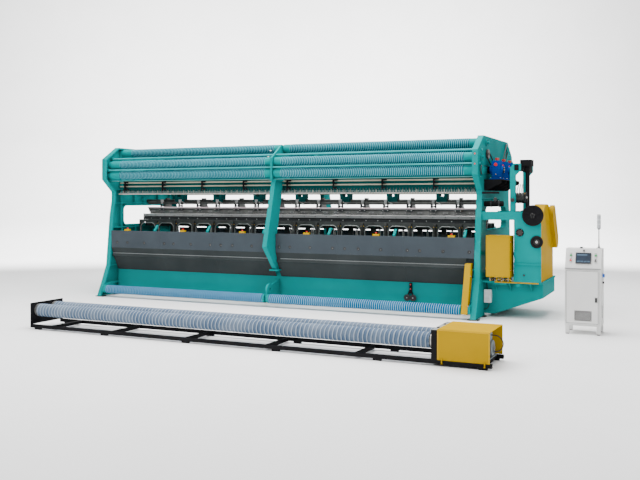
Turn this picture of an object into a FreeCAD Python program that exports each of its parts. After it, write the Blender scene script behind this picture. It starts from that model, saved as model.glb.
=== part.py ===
import FreeCAD, Part
import math
import os

# Warp knitting machine for nets: the knitting frame with its drive end, the batching winder
# that stands in front of it, and the control cabinet that stands beside it.
#
# Millimetres. X runs along the machine, +Y to the rear and +Z up. Sizes are set out from the left end
# frame's outer face (x = 0), the plane of the front guards (y = 0) and the floor (z = 0). The last step
# moves everything so that the origin is at floor level under the middle of the whole installation.
V = FreeCAD.Vector

# ---- knitting frame, overall
frame_length = 8050.0        # over the outer faces of the two end frames
centre_y = 1250.0            # knitting plane, from the front guards
end_thickness = 100.0        # end frame casting, along x
end_web = 26.0
end_rim = 34.0
pad_height = 20.0
neck_z = 2200.0              # where the head of the end frames begins
head_height = 960.0
head_depth = 2860.0
bed_z = 1600.0               # top of the needle bed
run_gap = 0.3                # clearance beside a piece that slides or turns
journal_gap = 0.05           # radial clearance of a shaft in its bore

# ---- let-off rollers, placed from the neck and the front plane of the head
roller_radius = 86.0
roller_wall = 7.0
journal_radius = 25.0
roller_spots = {"upper": (610.0, 840.0), "middle": (225.0, 572.0), "lower": (205.0, 350.0)}
roller_end_gap = 16.0
pulley_radius = 82.0
pulley_width = 30.0
pulley_gap = 12.0            # between the end frame and the belt wheels
neck_journal = 34.0          # radius in the middle bearing
idler_spot = (640.0, 640.0)
rod_spots = [(275.0, 702.0, 20.0), (130.0, 461.0, 15.0), (190.0, 236.0, 9.0)]

# ---- guards and base
guard_sheet = 6.0
guard_top_z = 1378.0
guard_fold_z = 1022.0
skirt_foot = (222.0, 560.0)
guard_count = 6
guard_hole_radius = 26.0
beam_front_y = 250.0
beam_depth = 180.0
beam_wall = 14.0
beam_low_z = 110.0
beam_top_z = 640.0

# ---- centre columns
column_width = 90.0
column_depth = 330.0
column_head = (10.0, 2395.0)
column_elbow = (-350.0, 1140.0)
column_foot = (60.0, 690.0)
column_flange = 28.0
head_plate_width = 36.0

# ---- knitting elements
arch_count = 16
arch_web = 36.0
bed_half_width = 300.0
slot_half_width = 52.0
bed_flange = 16.0
bed_low_z = 1150.0
inner_frame_count = 4
needle_bar_width = 34.0
needle_bar_height = 84.0
needle_stroke = 18.0
trick_height = 74.0
trick_width = 30.0
guide_bar_count = 4
guide_bar_width = 34.0
guide_bar_height = 44.0
guide_bar_pitch = 82.0
guide_bar_rise = 170.0       # bottom of the guide bars above the bed
guide_bar_shog = 15.0
swing_shaft_radius = 34.0
swing_shaft_rise = 410.0     # above the bed
swing_arm_width = 46.0
swing_arm_pitch = 480.0
hanger_pitch = 1000.0
hanger_width = 210.0
crossbeam = 300.0
crossbeam_rise = 250.0       # above the neck
yarn_beam_y = (400.0, 520.0)
yarn_beam_z = (-10.0, 250.0)
hook_first = 150.0           # from the left end frame
hook_pitch = 985.0
stop_margin = 410.0          # first and last stop button, from the end frames
stop_count = 6

main_shaft_z = 1040.0
main_shaft_radius = 40.0

# ---- take-down roller
take_down_y = -250.0
take_down_z = 162.0
take_down_radius = 84.0
bearing_plate = 42.0
middle_plate = 26.0
chain_guard_width = 106.0

# ---- drive end
platform_length = 1010.0
platform_front_y = 110.0
platform_depth = 1480.0
platform_wall_y = 300.0
platform_top_z = 640.0
platform_plate = 30.0
platform_sheet = 12.0
platform_knee = 180.0        # from the right end frame to where the underside starts to rise
platform_low_z = 60.0
platform_end_z = 360.0
case_start = 550.0           # from the right end frame to the gear case
case_length = 250.0
case_depth = 1320.0
case_sheet = 14.0
case_lid = 200.0             # width of each of the two top strips
case_front_plate = 16.0
case_top_z = 1830.0
case_front_y = 100.0
portal_height = 140.0
portal_width = 90.0
guard_width = 190.0
handwheel_radius = 176.0
handwheel_z = 1770.0
handwheel_journal = 24.0
post_size = 90.0
post_x = 480.0
post_height = 820.0
post_gap_y = 1150.0
bracket_reach = 300.0
bracket_z = 190.0            # top of the gearbox bracket above the neck
bracket_y = (280.0, 1880.0)
gearbox_count = 3
gearbox_pitch = 540.0

# ---- winder
winder_x = 1900.0
winder_length = 7275.0
winder_front_y = -4090.0
winder_depth = 700.0
winder_height = 440.0
winder_rail = 50.0
winder_roller_radius = 97.0
winder_roller_z = 285.0
winder_roller_y = (165.0, 520.0)
winder_box_length = 670.0
winder_box_height = 405.0

# ---- control cabinet
cabinet_x = 9580.0
cabinet_width = 520.0
cabinet_front_y = -960.0
cabinet_depth = 430.0
cabinet_leg = 130.0
cabinet_body = 870.0
cabinet_console = 290.0
cabinet_sheet = 2.5
door_frame_side = 14.0       # how far the housing laps behind the door at its sides
door_frame_low = 44.0
door_frame_high = 48.0
stack_light_height = 520.0

right_x = frame_length
inner_left = end_thickness
inner_right = frame_length - end_thickness
chain_guard_x = inner_right - bearing_plate - chain_guard_width
middle_x = frame_length / 2
head_front_y = centre_y - head_depth / 2
total_height = neck_z + head_height
shaft_z = bed_z + swing_shaft_rise
guide_bar_top = bed_z + guide_bar_rise + guide_bar_height


def box(x0, x1, y0, y1, z0, z1):
    return Part.makeBox(x1 - x0, y1 - y0, z1 - z0, V(x0, y0, z0))


def rod_x(x0, x1, y, z, r):
    return Part.makeCylinder(r, x1 - x0, V(x0, y, z), V(1, 0, 0))


def rod_y(x, y0, y1, z, r):
    return Part.makeCylinder(r, y1 - y0, V(x, y0, z), V(0, 1, 0))


def rod_z(x, y, z0, z1, r):
    return Part.makeCylinder(r, z1 - z0, V(x, y, z0), V(0, 0, 1))


def outline(points, radius=0.0):
    """A face in the XY plane: the polygon through the points, with its corners rounded."""
    if not radius:
        return Part.Face(Part.makePolygon([V(*p, 0) for p in points + points[:1]]))
    edges, starts, ends = [], [], []
    count = len(points)
    for i, p in enumerate(points):
        here = V(*p, 0)
        back = (V(*points[i - 1], 0) - here).normalize()
        ahead = (V(*points[(i + 1) % count], 0) - here).normalize()
        half = back.getAngle(ahead) / 2
        reach = radius / math.tan(half)
        middle = here + (back + ahead).normalize() * (radius / math.sin(half) - radius)
        starts.append(here + back * reach)
        ends.append(here + ahead * reach)
        edges.append(Part.Arc(starts[-1], middle, ends[-1]).toShape())
    sides = [Part.LineSegment(ends[i], starts[(i + 1) % count]).toShape() for i in range(count)]
    ordered = [e for pair in zip(edges, sides) for e in pair]
    return Part.Face(Part.Wire(ordered))


def across_x(face, x0, x1):
    """Stands a face drawn in (y, z) up and gives it thickness along x."""
    turned = face.copy()
    turned.transformShape(FreeCAD.Matrix(0, 0, 1, x0, 1, 0, 0, 0, 0, 1, 0, 0, 0, 0, 0, 1))
    return turned.extrude(V(x1 - x0, 0, 0))


def across_y(face, y0, y1):
    """Stands a face drawn in (x, z) up and gives it thickness along y."""
    turned = face.copy()
    turned.transformShape(FreeCAD.Matrix(1, 0, 0, 0, 0, 0, -1, y0, 0, 1, 0, 0, 0, 0, 0, 1))
    solid = turned.extrude(V(0, y1 - y0, 0))
    return solid


def to_rear(shape):
    """The same piece on the rear of the machine, mirrored in the knitting plane."""
    return shape.mirror(V(0, centre_y, 0), V(0, 1, 0))


def both_sides(shapes):
    return shapes + [to_rear(s) for s in shapes]


def mirrored(points):
    """Closes a front half outline of (y, z) points with its rear half."""
    return points + [(2 * centre_y - y, z) for y, z in reversed(points)]


def fuse(shapes):
    joined = shapes[0].fuse(shapes[1:]) if len(shapes) > 1 else shapes[0]
    return joined.removeSplitter()


def cut(shape, tools):
    return shape.cut(tools) if tools else shape


def spaced(start, end, count):
    step = (end - start) / count
    return [start + step * (i + 0.5) for i in range(count)]


def roller_centre(level):
    dy, dz = roller_spots[level]
    return head_front_y + dy, neck_z + dz


# ------------------------------------------------------------------ end frames and structure
frame_front = [
    (head_front_y + 500, pad_height), (head_front_y - 150, pad_height), (head_front_y - 30, 270.0),
    (head_front_y + 130, 640.0), (head_front_y + 240, 1700.0), (head_front_y + 310, neck_z - 170),
    (head_front_y + 310, neck_z), (head_front_y, neck_z + 265),
    (head_front_y, neck_z + head_height - 270), (head_front_y + 430, neck_z + head_height)]
arch_top_z = 520.0
leg_inner_y = head_front_y + 500
window_low_z, window_top_z = 1505.0, 1905.0
window_front_y = 420.0


def end_frame(left):
    """One casting: an outer web with a rim and ribs that face the machine."""
    x0, x1 = (0.0, end_thickness) if left else (inner_right, right_x)
    pocket_x = (x0 + end_web, x1) if left else (x0, x1 - end_web)
    outer = outline(mirrored(frame_front))
    arch = outline([(leg_inner_y, pad_height - 50), (2 * centre_y - leg_inner_y, pad_height - 50),
                    (2 * centre_y - leg_inner_y, arch_top_z), (leg_inner_y, arch_top_z)], 45)
    window = outline([(window_front_y, window_low_z), (2 * centre_y - window_front_y, window_low_z),
                      (2 * centre_y - window_front_y, window_top_z), (window_front_y, window_top_z)], 90)
    plate = outer.cut([arch, window]).Faces[0]
    casting = across_x(plate, x0, x1)
    pocket = across_x(plate.makeOffset2D(-end_rim), *pocket_x)
    rib = 24.0
    head_y0, head_y1 = head_front_y, 2 * centre_y - head_front_y
    keep = [box(x0, x1, head_y0, head_y1, z - rib / 2, z + rib / 2)
            for z in (270.0, 640.0, 900.0, 1180.0, window_low_z - 60, window_top_z + 60, neck_z + 60)]
    for y in (window_front_y - 60, centre_y - 420, centre_y + 420, 2 * centre_y - window_front_y + 60):
        keep.append(box(x0, x1, y - rib / 2, y + rib / 2, 200.0, total_height - 60))
    for level in roller_spots:
        y, z = roller_centre(level)
        keep += [rod_x(x0, x1, y, z, 78.0), rod_x(x0, x1, 2 * centre_y - y, z, 78.0)]
    for dy, dz, r in rod_spots:
        keep += [rod_x(x0, x1, head_front_y + dy, neck_z + dz, r + 18)]
        keep += [rod_x(x0, x1, 2 * centre_y - head_front_y - dy, neck_z + dz, r + 18)]
    if not left:
        keep.append(rod_x(x0, x1, *idler_centre(), 60.0))
    keep.append(rod_x(x0, x1, centre_y, shaft_z, 110.0))
    keep.append(rod_x(x0, x1, centre_y, main_shaft_z, 110.0))
    casting = casting.cut(pocket.cut(keep))
    bores = []
    for level in roller_spots:
        y, z = roller_centre(level)
        bores += both_sides([rod_x(x0 - 1, x1 + 1, y, z, journal_radius + journal_gap)])
    if not left:
        bores.append(rod_x(x0 - 1, x1 + 1, *idler_centre(), journal_radius + journal_gap))
    for dy, dz, r in rod_spots:
        bores += both_sides([rod_x(x0 - 1, x1 + 1, head_front_y + dy, neck_z + dz, r)])
    bores.append(rod_x(x0 - 1, x1 + 1, centre_y, shaft_z, swing_shaft_radius + journal_gap))
    bores.append(rod_x(x0 - 1, x1 + 1, centre_y, main_shaft_z, main_shaft_radius + journal_gap))
    return [casting.cut(bores)]


def levelling_feet():
    """A round pad under each leg and a screw standing on it, with its lock nut."""
    feet = []
    for x in (end_thickness / 2, right_x - end_thickness / 2):
        for y in (head_front_y - 90, leg_inner_y - 90):
            feet += both_sides([box(x - 95, x + 95, y - 60, y + 60, 0.0, pad_height)])
    for x in (middle_x,):
        feet += both_sides([box(x - 80, x + 80, beam_front_y + 20, beam_front_y + 160, 0.0, pad_height),
                            rod_z(x, beam_front_y + beam_depth / 2, pad_height, beam_low_z, 22.0)])
    return feet


def base_beam():
    """Front and rear channel beams between the end frames, open towards the middle."""
    profile = outline([(beam_front_y, beam_low_z), (beam_front_y + beam_depth, beam_low_z),
                       (beam_front_y + beam_depth, beam_low_z + beam_wall),
                       (beam_front_y + beam_wall, beam_low_z + beam_wall),
                       (beam_front_y + beam_wall, beam_top_z - beam_wall),
                       (beam_front_y + beam_depth, beam_top_z - beam_wall),
                       (beam_front_y + beam_depth, beam_top_z), (beam_front_y, beam_top_z)])
    return both_sides([across_x(profile, inner_left, inner_right)])


def inner_frames():
    """Cross frames that carry the needle bed, each with a bearing for the main shaft."""
    frames = []
    y0 = beam_front_y + beam_depth
    leg = 90.0
    for x in spaced(inner_left, inner_right, inner_frame_count):
        a, b = x - 40, x + 40
        tie = box(a, b, y0, 2 * centre_y - y0, beam_low_z, beam_low_z + 120)
        legs = [box(a, b, bed_front_y, bed_front_y + leg, beam_low_z + 120, bed_low_z)]
        bridge = box(a, b, bed_front_y, 2 * centre_y - bed_front_y, main_shaft_z - 75, main_shaft_z + 75)
        bore = rod_x(a - 1, b + 1, centre_y, main_shaft_z, main_shaft_radius + journal_gap)
        frames.append(fuse([tie, bridge] + both_sides(legs)).cut(bore))
    return frames


def crossbeams():
    """The hollow main crossbeam and the two yarn beams that tie the end frames together."""
    z0 = neck_z + crossbeam_rise
    half = crossbeam / 2
    tube = box(inner_left, inner_right, centre_y - half, centre_y + half, z0, z0 + crossbeam)
    bore = box(inner_left, inner_right, centre_y - half + beam_wall, centre_y + half - beam_wall,
               z0 + beam_wall, z0 + crossbeam - beam_wall)
    y0, y1 = yarn_beam_y
    low, high = (neck_z + z for z in yarn_beam_z)
    front = box(inner_left, inner_right, y0, y0 + beam_wall, low, high)
    lip = box(inner_left, inner_right, y0 + beam_wall, y1, high - beam_wall, high)
    return [tube.cut(bore)] + both_sides([fuse([front, lip])])


def centre_columns():
    """The bent middle columns, their flanges, and the head plates above them."""
    x0, x1 = middle_x - column_width / 2, middle_x + column_width / 2
    top_y, top_z = column_head
    ey, ez = column_elbow
    fy, fz = column_foot
    d = column_depth
    shaft = outline([(top_y, top_z), (ey, ez), (fy, fz),
                     (fy + d, fz), (ey + d + 30, ez), (top_y + d, top_z)])
    column = across_x(shaft, x0, x1)
    saddle = box(x0 - 20, x1 + 20, beam_front_y, beam_front_y + beam_depth, beam_top_z, fz - column_flange)
    head_y, head_z = head_front_y, neck_z + head_height
    plate_front = [(head_y + 95, top_z + 30), (head_y + 95, head_z - 320), (head_y + 500, head_z - 50),
                   (head_y + 830, head_z - 50), (head_y + 830, top_z + 30)]
    plate = across_x(outline(plate_front), middle_x - head_plate_width / 2, middle_x + head_plate_width / 2)
    cap = box(x0 - 25, x1 + 25, top_y - 15, top_y + d + 15, top_z, top_z + 30)
    arm = box(middle_x - 30, middle_x + 30, top_y + d - 40, yarn_beam_y[0], top_z - 75, top_z)
    bores = []
    for level in roller_spots:
        y, z = roller_centre(level)
        bores.append(rod_x(x0, x1, y, z, neck_journal + journal_gap))
    for dy, dz, r in rod_spots:
        bores.append(rod_x(x0, x1, head_front_y + dy, neck_z + dz, r))
    passing = crossbeams() + yarn_rods(0.2) + comb_rails()
    body = fuse([column, cap, arm]).cut(passing)
    return both_sides([body, fuse([column_foot_plate(0.0), saddle]), plate.cut(bores + passing)])


def column_foot_plate(clearance):
    """The foot flange of a middle column, or the room that the skirts leave for it."""
    reach = column_width / 2 + 45 + clearance
    fy, fz = column_foot
    return box(middle_x - reach, middle_x + reach, fy - 45 - clearance, fy + column_depth + 45,
               fz - column_flange - clearance, fz + clearance)


# ------------------------------------------------------------------ guards
def guard_spans():
    """Start and end of each guard panel; the middle columns stand between the two halves."""
    gap = column_width / 2 + 6
    half = guard_count // 2
    left = [(inner_left + 2, middle_x - gap), (middle_x + gap, inner_right - 2)]
    spans = []
    for a, b in left:
        step = (b - a) / half
        spans += [(a + step * i + 1, a + step * (i + 1) - 1) for i in range(half)]
    return spans


def guard_panels():
    """Upright sheet panels with a turned top edge and their round access holes."""
    panels = []
    for i, (a, b) in enumerate(guard_spans()):
        sheet = box(a, b, 0.0, guard_sheet, guard_fold_z, guard_top_z)
        edge = box(a, b, guard_sheet, 70.0, guard_top_z - guard_sheet, guard_top_z)
        shares = (0.12, 0.33, 0.67) if i % 2 == 0 else (0.06, 0.24, 0.57, 0.93)
        holes = [rod_y(a + (b - a) * share, -1, guard_sheet + 1, guard_fold_z + 110, guard_hole_radius)
                 for share in shares]
        panels.append(fuse([sheet, edge]).cut(holes))
    return both_sides(panels)


def guard_catches():
    """Bent straps that hook the guards' top edge to the needle bed."""
    catches = []
    for a, b in guard_spans():
        x = a + (b - a) * 0.86
        face = outline([(22.0, guard_top_z), (62.0, guard_top_z), (62.0, guard_top_z + 10),
                        (150.0, guard_top_z + 120), (126.0, guard_top_z + 130), (22.0, guard_top_z + 24)])
        catches.append(across_x(face, x - 22, x + 22))
    return both_sides(catches)


def guard_skirts():
    """The folded skirts below the panels, which lean in to the base beams."""
    fy, fz = skirt_foot
    line = [(0.0, guard_fold_z - 0.5), (58.0, 905.0), (40.0, 848.0), (84.0, 812.0), (fy, fz)]
    back = [(y + guard_sheet * 1.1, z) for y, z in reversed(line)]
    foot = [(fy, fz), (beam_front_y, fz - 20), (beam_front_y, fz - 12), (fy + guard_sheet * 1.1, fz)]
    face = outline(line[:-1] + foot + back[1:])
    room = column_foot_plate(2.0)
    return both_sides([across_x(face, a, min(b, chain_guard_x - 6)).cut(room) for a, b in guard_spans()])


def guard_stays():
    """Brackets that carry the guards from the needle bed legs."""
    stays = []
    step = (inner_right - inner_left) / arch_count
    for a, b in guard_spans():
        arch = int(((a + b) / 2 - inner_left) // step)
        x = inner_left + step * (arch + 0.5)
        stays.append(box(x - 20, x + 20, guard_sheet, bed_front_y, bed_low_z + 10, bed_low_z + 40))
    return both_sides(stays)


bed_front_y = centre_y - bed_half_width


# ------------------------------------------------------------------ knitting elements
def needle_bed():
    """Two arched castings, front and rear, with the needle slot between their top flanges."""
    step = (inner_right - inner_left) / arch_count
    web = box(inner_left, inner_right, bed_front_y, bed_front_y + arch_web, bed_low_z, bed_z)
    openings = []
    for i in range(arch_count):
        a = inner_left + step * i + 52
        b = inner_left + step * (i + 1) - 52
        low, spring, crown = bed_low_z + 50, bed_z - 130, bed_z - 62
        face = outline([(a, low), (b, low), (b, spring), (b - 75, crown), (a + 75, crown), (a, spring)])
        openings.append(across_y(face, bed_front_y - 1, bed_front_y + arch_web + 1))
    flange = box(inner_left, inner_right, bed_front_y, centre_y - slot_half_width, bed_z - bed_flange, bed_z)
    cheek = box(inner_left, inner_right, centre_y - slot_half_width - 14, centre_y - slot_half_width,
                bed_z - 150, bed_z - bed_flange)
    return both_sides([fuse([web.cut(openings), flange, cheek])])


def bed_studs():
    """The clamp studs on the bed's pillars, in front of the arches."""
    step = (inner_right - inner_left) / arch_count
    studs = []
    for i in range(1, arch_count):
        x = inner_left + step * i
        y0, y1 = bed_front_y - 44, bed_front_y
        studs.append(fuse([rod_z(x, bed_front_y - 22, bed_low_z + 60, bed_z - 70, 15.0),
                           box(x - 26, x + 26, y0, y1, bed_z - 70, bed_z - 20),
                           box(x - 26, x + 26, y0, y1, bed_low_z + 30, bed_low_z + 60)]))
    return both_sides(studs)


def trick_plates():
    y1 = centre_y - slot_half_width - 2
    return both_sides([box(inner_left + 60, inner_right - 60, y1 - trick_width, y1,
                           bed_z, bed_z + trick_height)])


def needle_bar(front):
    """A bar that rises and falls in the bed's slot, with its lifting rods."""
    y0 = centre_y - slot_half_width + run_gap
    bar = box(inner_left + 60, inner_right - 60, y0, y0 + needle_bar_width,
              bed_z - needle_bar_height + 20, bed_z + 20)
    rods = [rod_z(x, y0 + needle_bar_width / 2, bed_low_z + 100, bed_z - needle_bar_height + 20, 11.0)
            for x in spaced(inner_left, inner_right, arch_count)]
    piece = fuse([bar] + rods)
    return [piece if front else to_rear(piece)]


def guide_bar(index):
    y = centre_y + (index - (guide_bar_count - 1) / 2) * guide_bar_pitch
    z0 = bed_z + guide_bar_rise
    x0, x1 = inner_left + 150, inner_right - 150
    bar = box(x0, x1, y - guide_bar_width / 2, y + guide_bar_width / 2, z0, z0 + guide_bar_height)
    nose = box(x0 + 20, x1 - 20, y - 7, y + 7, z0 - 40, z0)
    return [fuse([bar, nose])]


def swing_arm_places():
    count = int((inner_right - inner_left - 240) // swing_arm_pitch)
    start = middle_x - swing_arm_pitch * (count - 1) / 2
    spots = [start + swing_arm_pitch * i for i in range(count)]
    room = hanger_width / 2 + swing_arm_width / 2 + 4
    return [x for x in spots if min(abs(x - h) for h in hanger_places()) > room]


def hanger_places():
    count = int((inner_right - inner_left) // hanger_pitch)
    start = middle_x - hanger_pitch * (count - 1) / 2
    return [start + hanger_pitch * i for i in range(count)]


def swing_carriage():
    """The rocking shaft with its clamped arms, which carry the guide bars in flat slides."""
    shaft = rod_x(-30.0, right_x + 40, centre_y, shaft_z, swing_shaft_radius)
    half = guide_bar_pitch * (guide_bar_count - 1) / 2 + 34
    pieces = [shaft]
    for x in swing_arm_places():
        a, b = x - swing_arm_width / 2, x + swing_arm_width / 2
        z0 = guide_bar_top + run_gap
        arm = outline([(centre_y - half, z0), (centre_y + half, z0), (centre_y + half, z0 + 34),
                       (centre_y + 62, shaft_z - 20), (centre_y + 62, shaft_z + 62),
                       (centre_y - 62, shaft_z + 62), (centre_y - 62, shaft_z - 20),
                       (centre_y - half, z0 + 34)])
        pieces.append(across_x(arm, a, b).cut(shaft))
    rail = box(inner_left + 160, inner_right - 160, centre_y - half - 16, centre_y - half,
               guide_bar_top + run_gap, guide_bar_top + run_gap + 30)
    return pieces + both_sides([rail])


def hangers():
    """Brackets under the crossbeam with the rocking shaft's bearings."""
    found = []
    top = neck_z + crossbeam_rise
    for x in hanger_places():
        a, b = x - hanger_width / 2, x + hanger_width / 2
        face = outline([(centre_y - 120, top), (centre_y - 80, shaft_z - 70), (centre_y + 80, shaft_z - 70),
                        (centre_y + 120, top)])
        block = across_x(face, a, b)
        gap = box(a + 55, b - 55, centre_y - 200, centre_y + 200, shaft_z + 90, top - 60)
        bore = rod_x(a - 1, b + 1, centre_y, shaft_z, swing_shaft_radius + journal_gap)
        found.append(block.cut([gap, bore]))
    return found


def hook_places():
    count = int((inner_right - inner_left - hook_first) // hook_pitch) + 1
    return [inner_left + hook_first + hook_pitch * i for i in range(count)]


hook_stem_y = 250.0
hook_rods = [(300.0, 195.0), (300.0, 120.0)]
comb_rail_z = -28.0


def yarn_hooks():
    """Flat hooks on the yarn beams that hold the yarn rods and the comb rail."""
    found = []
    y1 = yarn_beam_y[0]
    for x in hook_places():
        z = neck_z
        stem = [box(x - 9, x + 9, hook_stem_y, hook_stem_y + 22, z + comb_rail_z, z + 222),
                box(x - 9, x + 9, hook_stem_y, y1, z + 205, z + 222),
                box(x - 9, x + 9, hook_stem_y, y1 - 40, z + 148, z + 165),
                box(x - 9, x + 9, hook_stem_y, y1, z + 40, z + 62)]
        hook = fuse(stem)
        lugs = [rod_x(x - 9, x + 9, y, z + dz, 26.0) for y, dz in hook_rods]
        hook = fuse([hook] + lugs)
        holes = [rod_x(x - 10, x + 10, y, z + dz, 13.0) for y, dz in hook_rods]
        found.append(hook.cut(holes))
    return both_sides(found)


def yarn_rods(clearance=0.0):
    """Plain rods: two on the hooks and three beside the let-off rollers, front and rear."""
    rods = [rod_x(inner_left, inner_right, y, neck_z + dz, 13.0 + clearance) for y, dz in hook_rods]
    for dy, dz, r in rod_spots:
        rods.append(rod_x(-15.0, right_x + 15, head_front_y + dy, neck_z + dz, r + clearance))
    return both_sides(rods)


def comb_rails():
    """Rails with a row of spring blades, under the hooks."""
    z = neck_z + comb_rail_z
    rail = box(inner_left, inner_right, hook_stem_y - 6, hook_stem_y + 40, z - 26, z)
    blades = []
    for x in spaced(inner_left + 30, inner_right - 30, 60):
        if min(abs(x - h) for h in hook_places()) > 22:
            blades.append(box(x - 5, x + 5, hook_stem_y + 26, hook_stem_y + 32, z, z + 58))
    return both_sides([fuse([rail] + blades)])


# ------------------------------------------------------------------ rollers
def ring(x0, x1, y, z, outer, inner):
    return rod_x(x0, x1, y, z, outer).cut(rod_x(x0 - 1, x1 + 1, y, z, inner))


def barrel(y, z, radius, x0, x1):
    """A tube with a vented disc pressed into each end, bored for the shaft."""
    tube = ring(x0, x1, y, z, radius, radius - roller_wall)
    discs = []
    for a in (x0 + 6, x1 - 18):
        disc = rod_x(a, a + 12, y, z, radius - roller_wall / 2)
        vents = [rod_x(a - 1, a + 13, y, z + radius * 0.6 * side, 9.0) for side in (-1, 1)]
        discs.append(disc.cut(vents + [rod_x(a - 1, a + 13, y, z, journal_radius)]))
    return fuse([tube] + discs)


def let_off_roller(level, rear, belted):
    """Two barrels on one shaft, with the middle journal between them and a hub outside the left frame."""
    y, z = roller_centre(level)
    gap = head_plate_width / 2 + roller_end_gap
    left_end = -pulley_width - 30
    right_end = right_x + pulley_gap + pulley_width + 18
    barrels = [barrel(y, z, roller_radius, inner_left + roller_end_gap, middle_x - gap),
               barrel(y, z, roller_radius, middle_x + gap, inner_right - roller_end_gap)]
    shaft = [rod_x(left_end, right_end, y, z, journal_radius),
             rod_x(middle_x - gap + 8, middle_x + gap - 8, y, z, neck_journal),
             rod_x(left_end + 4, -8.0, y, z, pulley_radius - 20)]
    if belted:
        shaft.append(belt_wheel(y, z))
    pieces = barrels + [fuse(shaft)]
    return [to_rear(piece) for piece in pieces] if rear else pieces


def belt_wheel(y, z):
    """A toothed belt wheel with side flanges, outside the right end frame."""
    x0 = right_x + pulley_gap
    x1 = x0 + pulley_width
    return fuse([rod_x(x0, x1, y, z, pulley_radius - 6), rod_x(x0, x0 + 3, y, z, pulley_radius),
                 rod_x(x1 - 3, x1, y, z, pulley_radius)])


def idler_centre():
    return head_front_y + idler_spot[0], neck_z + idler_spot[1]


def belt_idler():
    """The loose wheel between the two let-off belts, on a stub shaft in the end frame."""
    y, z = idler_centre()
    stub = rod_x(inner_right, right_x + pulley_gap + pulley_width + 12, y, z, journal_radius)
    return [fuse([belt_wheel(y, z), stub])]


def take_down_roller():
    """Two barrels on one shaft, with the chain sprocket inside the chain guard."""
    y, z = take_down_y, take_down_z
    gap = middle_plate / 2 + roller_end_gap
    barrels = [barrel(y, z, take_down_radius, inner_left + 60, middle_x - gap),
               barrel(y, z, take_down_radius, middle_x + gap, chain_guard_x - 14)]
    shaft = [rod_x(inner_left + 2, inner_right - 2, y, z, journal_radius),
             rod_x(chain_guard_x + 40, chain_guard_x + 50, y, z, 60.0)]
    return barrels + [fuse(shaft)]


def take_down_bearings():
    """Bearing plates at both ends and a ring plate in the middle, carried by the beam and the legs."""
    r = journal_radius + journal_gap
    found = []
    for x0, x1 in ((inner_left, inner_left + bearing_plate), (inner_right - bearing_plate, inner_right)):
        face = outline([(take_down_y - 62, take_down_z - 62), (20.0, take_down_z - 62),
                        (60.0, take_down_z + 130), (-40.0, take_down_z + 130),
                        (take_down_y - 62, take_down_z + 62)], 12)
        found.append(across_x(face, x0, x1).cut(rod_x(x0 - 1, x1 + 1, take_down_y, take_down_z, r)))
    x0, x1 = middle_x - middle_plate / 2, middle_x + middle_plate / 2
    ring_y, ring_z = take_down_y + 90, take_down_z + 155
    arm = across_x(outline([(take_down_y - 45, take_down_z - 45), (take_down_y + 60, take_down_z - 45),
                            (beam_front_y, take_down_z + 40), (beam_front_y, take_down_z + 330),
                            (ring_y - 40, ring_z + 60), (take_down_y - 45, take_down_z + 60)]), x0, x1)
    eye = rod_x(x0 - 8, x1 + 8, ring_y, ring_z, 118.0)
    bores = [rod_x(x0 - 10, x1 + 10, take_down_y, take_down_z, r),
             rod_x(x0 - 10, x1 + 10, ring_y, ring_z, 40.0)]
    for low, high in ((x0 - 9, x0), (x1, x1 + 9)):
        bores.append(rod_x(low, high, take_down_y, take_down_z, take_down_radius + 4))
    found.append(fuse([arm, eye]).cut(bores))
    return found


def chain_guard():
    """The leaning channel that covers the take-down chain."""
    x0, x1 = chain_guard_x, inner_right - bearing_plate
    depth, wall = 150.0, 4.0
    front = [(take_down_y - 95, take_down_z - 62), (-75.0, 935.0)]
    back = [(y + depth, z) for y, z in reversed(front)]
    shell = across_x(outline(front + back), x0, x1)
    shaft_hole = rod_x(x0 - 1, x1 + 1, take_down_y, take_down_z, journal_radius + 12)
    inside = [(front[0][0] + wall, front[0][1] - 1), (front[1][0] + wall, front[1][1] - wall),
              (back[0][0] - wall, front[1][1] - wall), (back[1][0] - wall, front[0][1] - 1)]
    return [shell.cut([across_x(outline(inside), x0 + wall, x1 - wall), shaft_hole])]


# ------------------------------------------------------------------ drive end
def drive_platform():
    """A welded box that tapers up to its outer end, under a flat plate, sheet by sheet."""
    x0, x1 = right_x, right_x + platform_length
    y0, y1 = platform_wall_y, platform_front_y + platform_depth - 20
    w = platform_sheet
    top = platform_top_z - platform_plate
    knee = x0 + platform_knee
    end = x1 - 12
    low, high = platform_low_z, platform_end_z
    side = outline([(x0, low), (knee, low), (end, high), (end, top), (x0, top)])
    slope = [(knee, low), (end, high), (end, high + 1.5 * w), (knee, low + w)]
    return [across_y(side, y0, y0 + w), across_y(side, y1 - w, y1),
            box(x0, knee, y0 + w, y1 - w, low, low + w), across_y(outline(slope), y0 + w, y1 - w),
            box(end - w, end, y0 + w, y1 - w, high + 1.5 * w, top),
            box(x0, x1, platform_front_y, platform_front_y + platform_depth, top, platform_top_z)]


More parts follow.
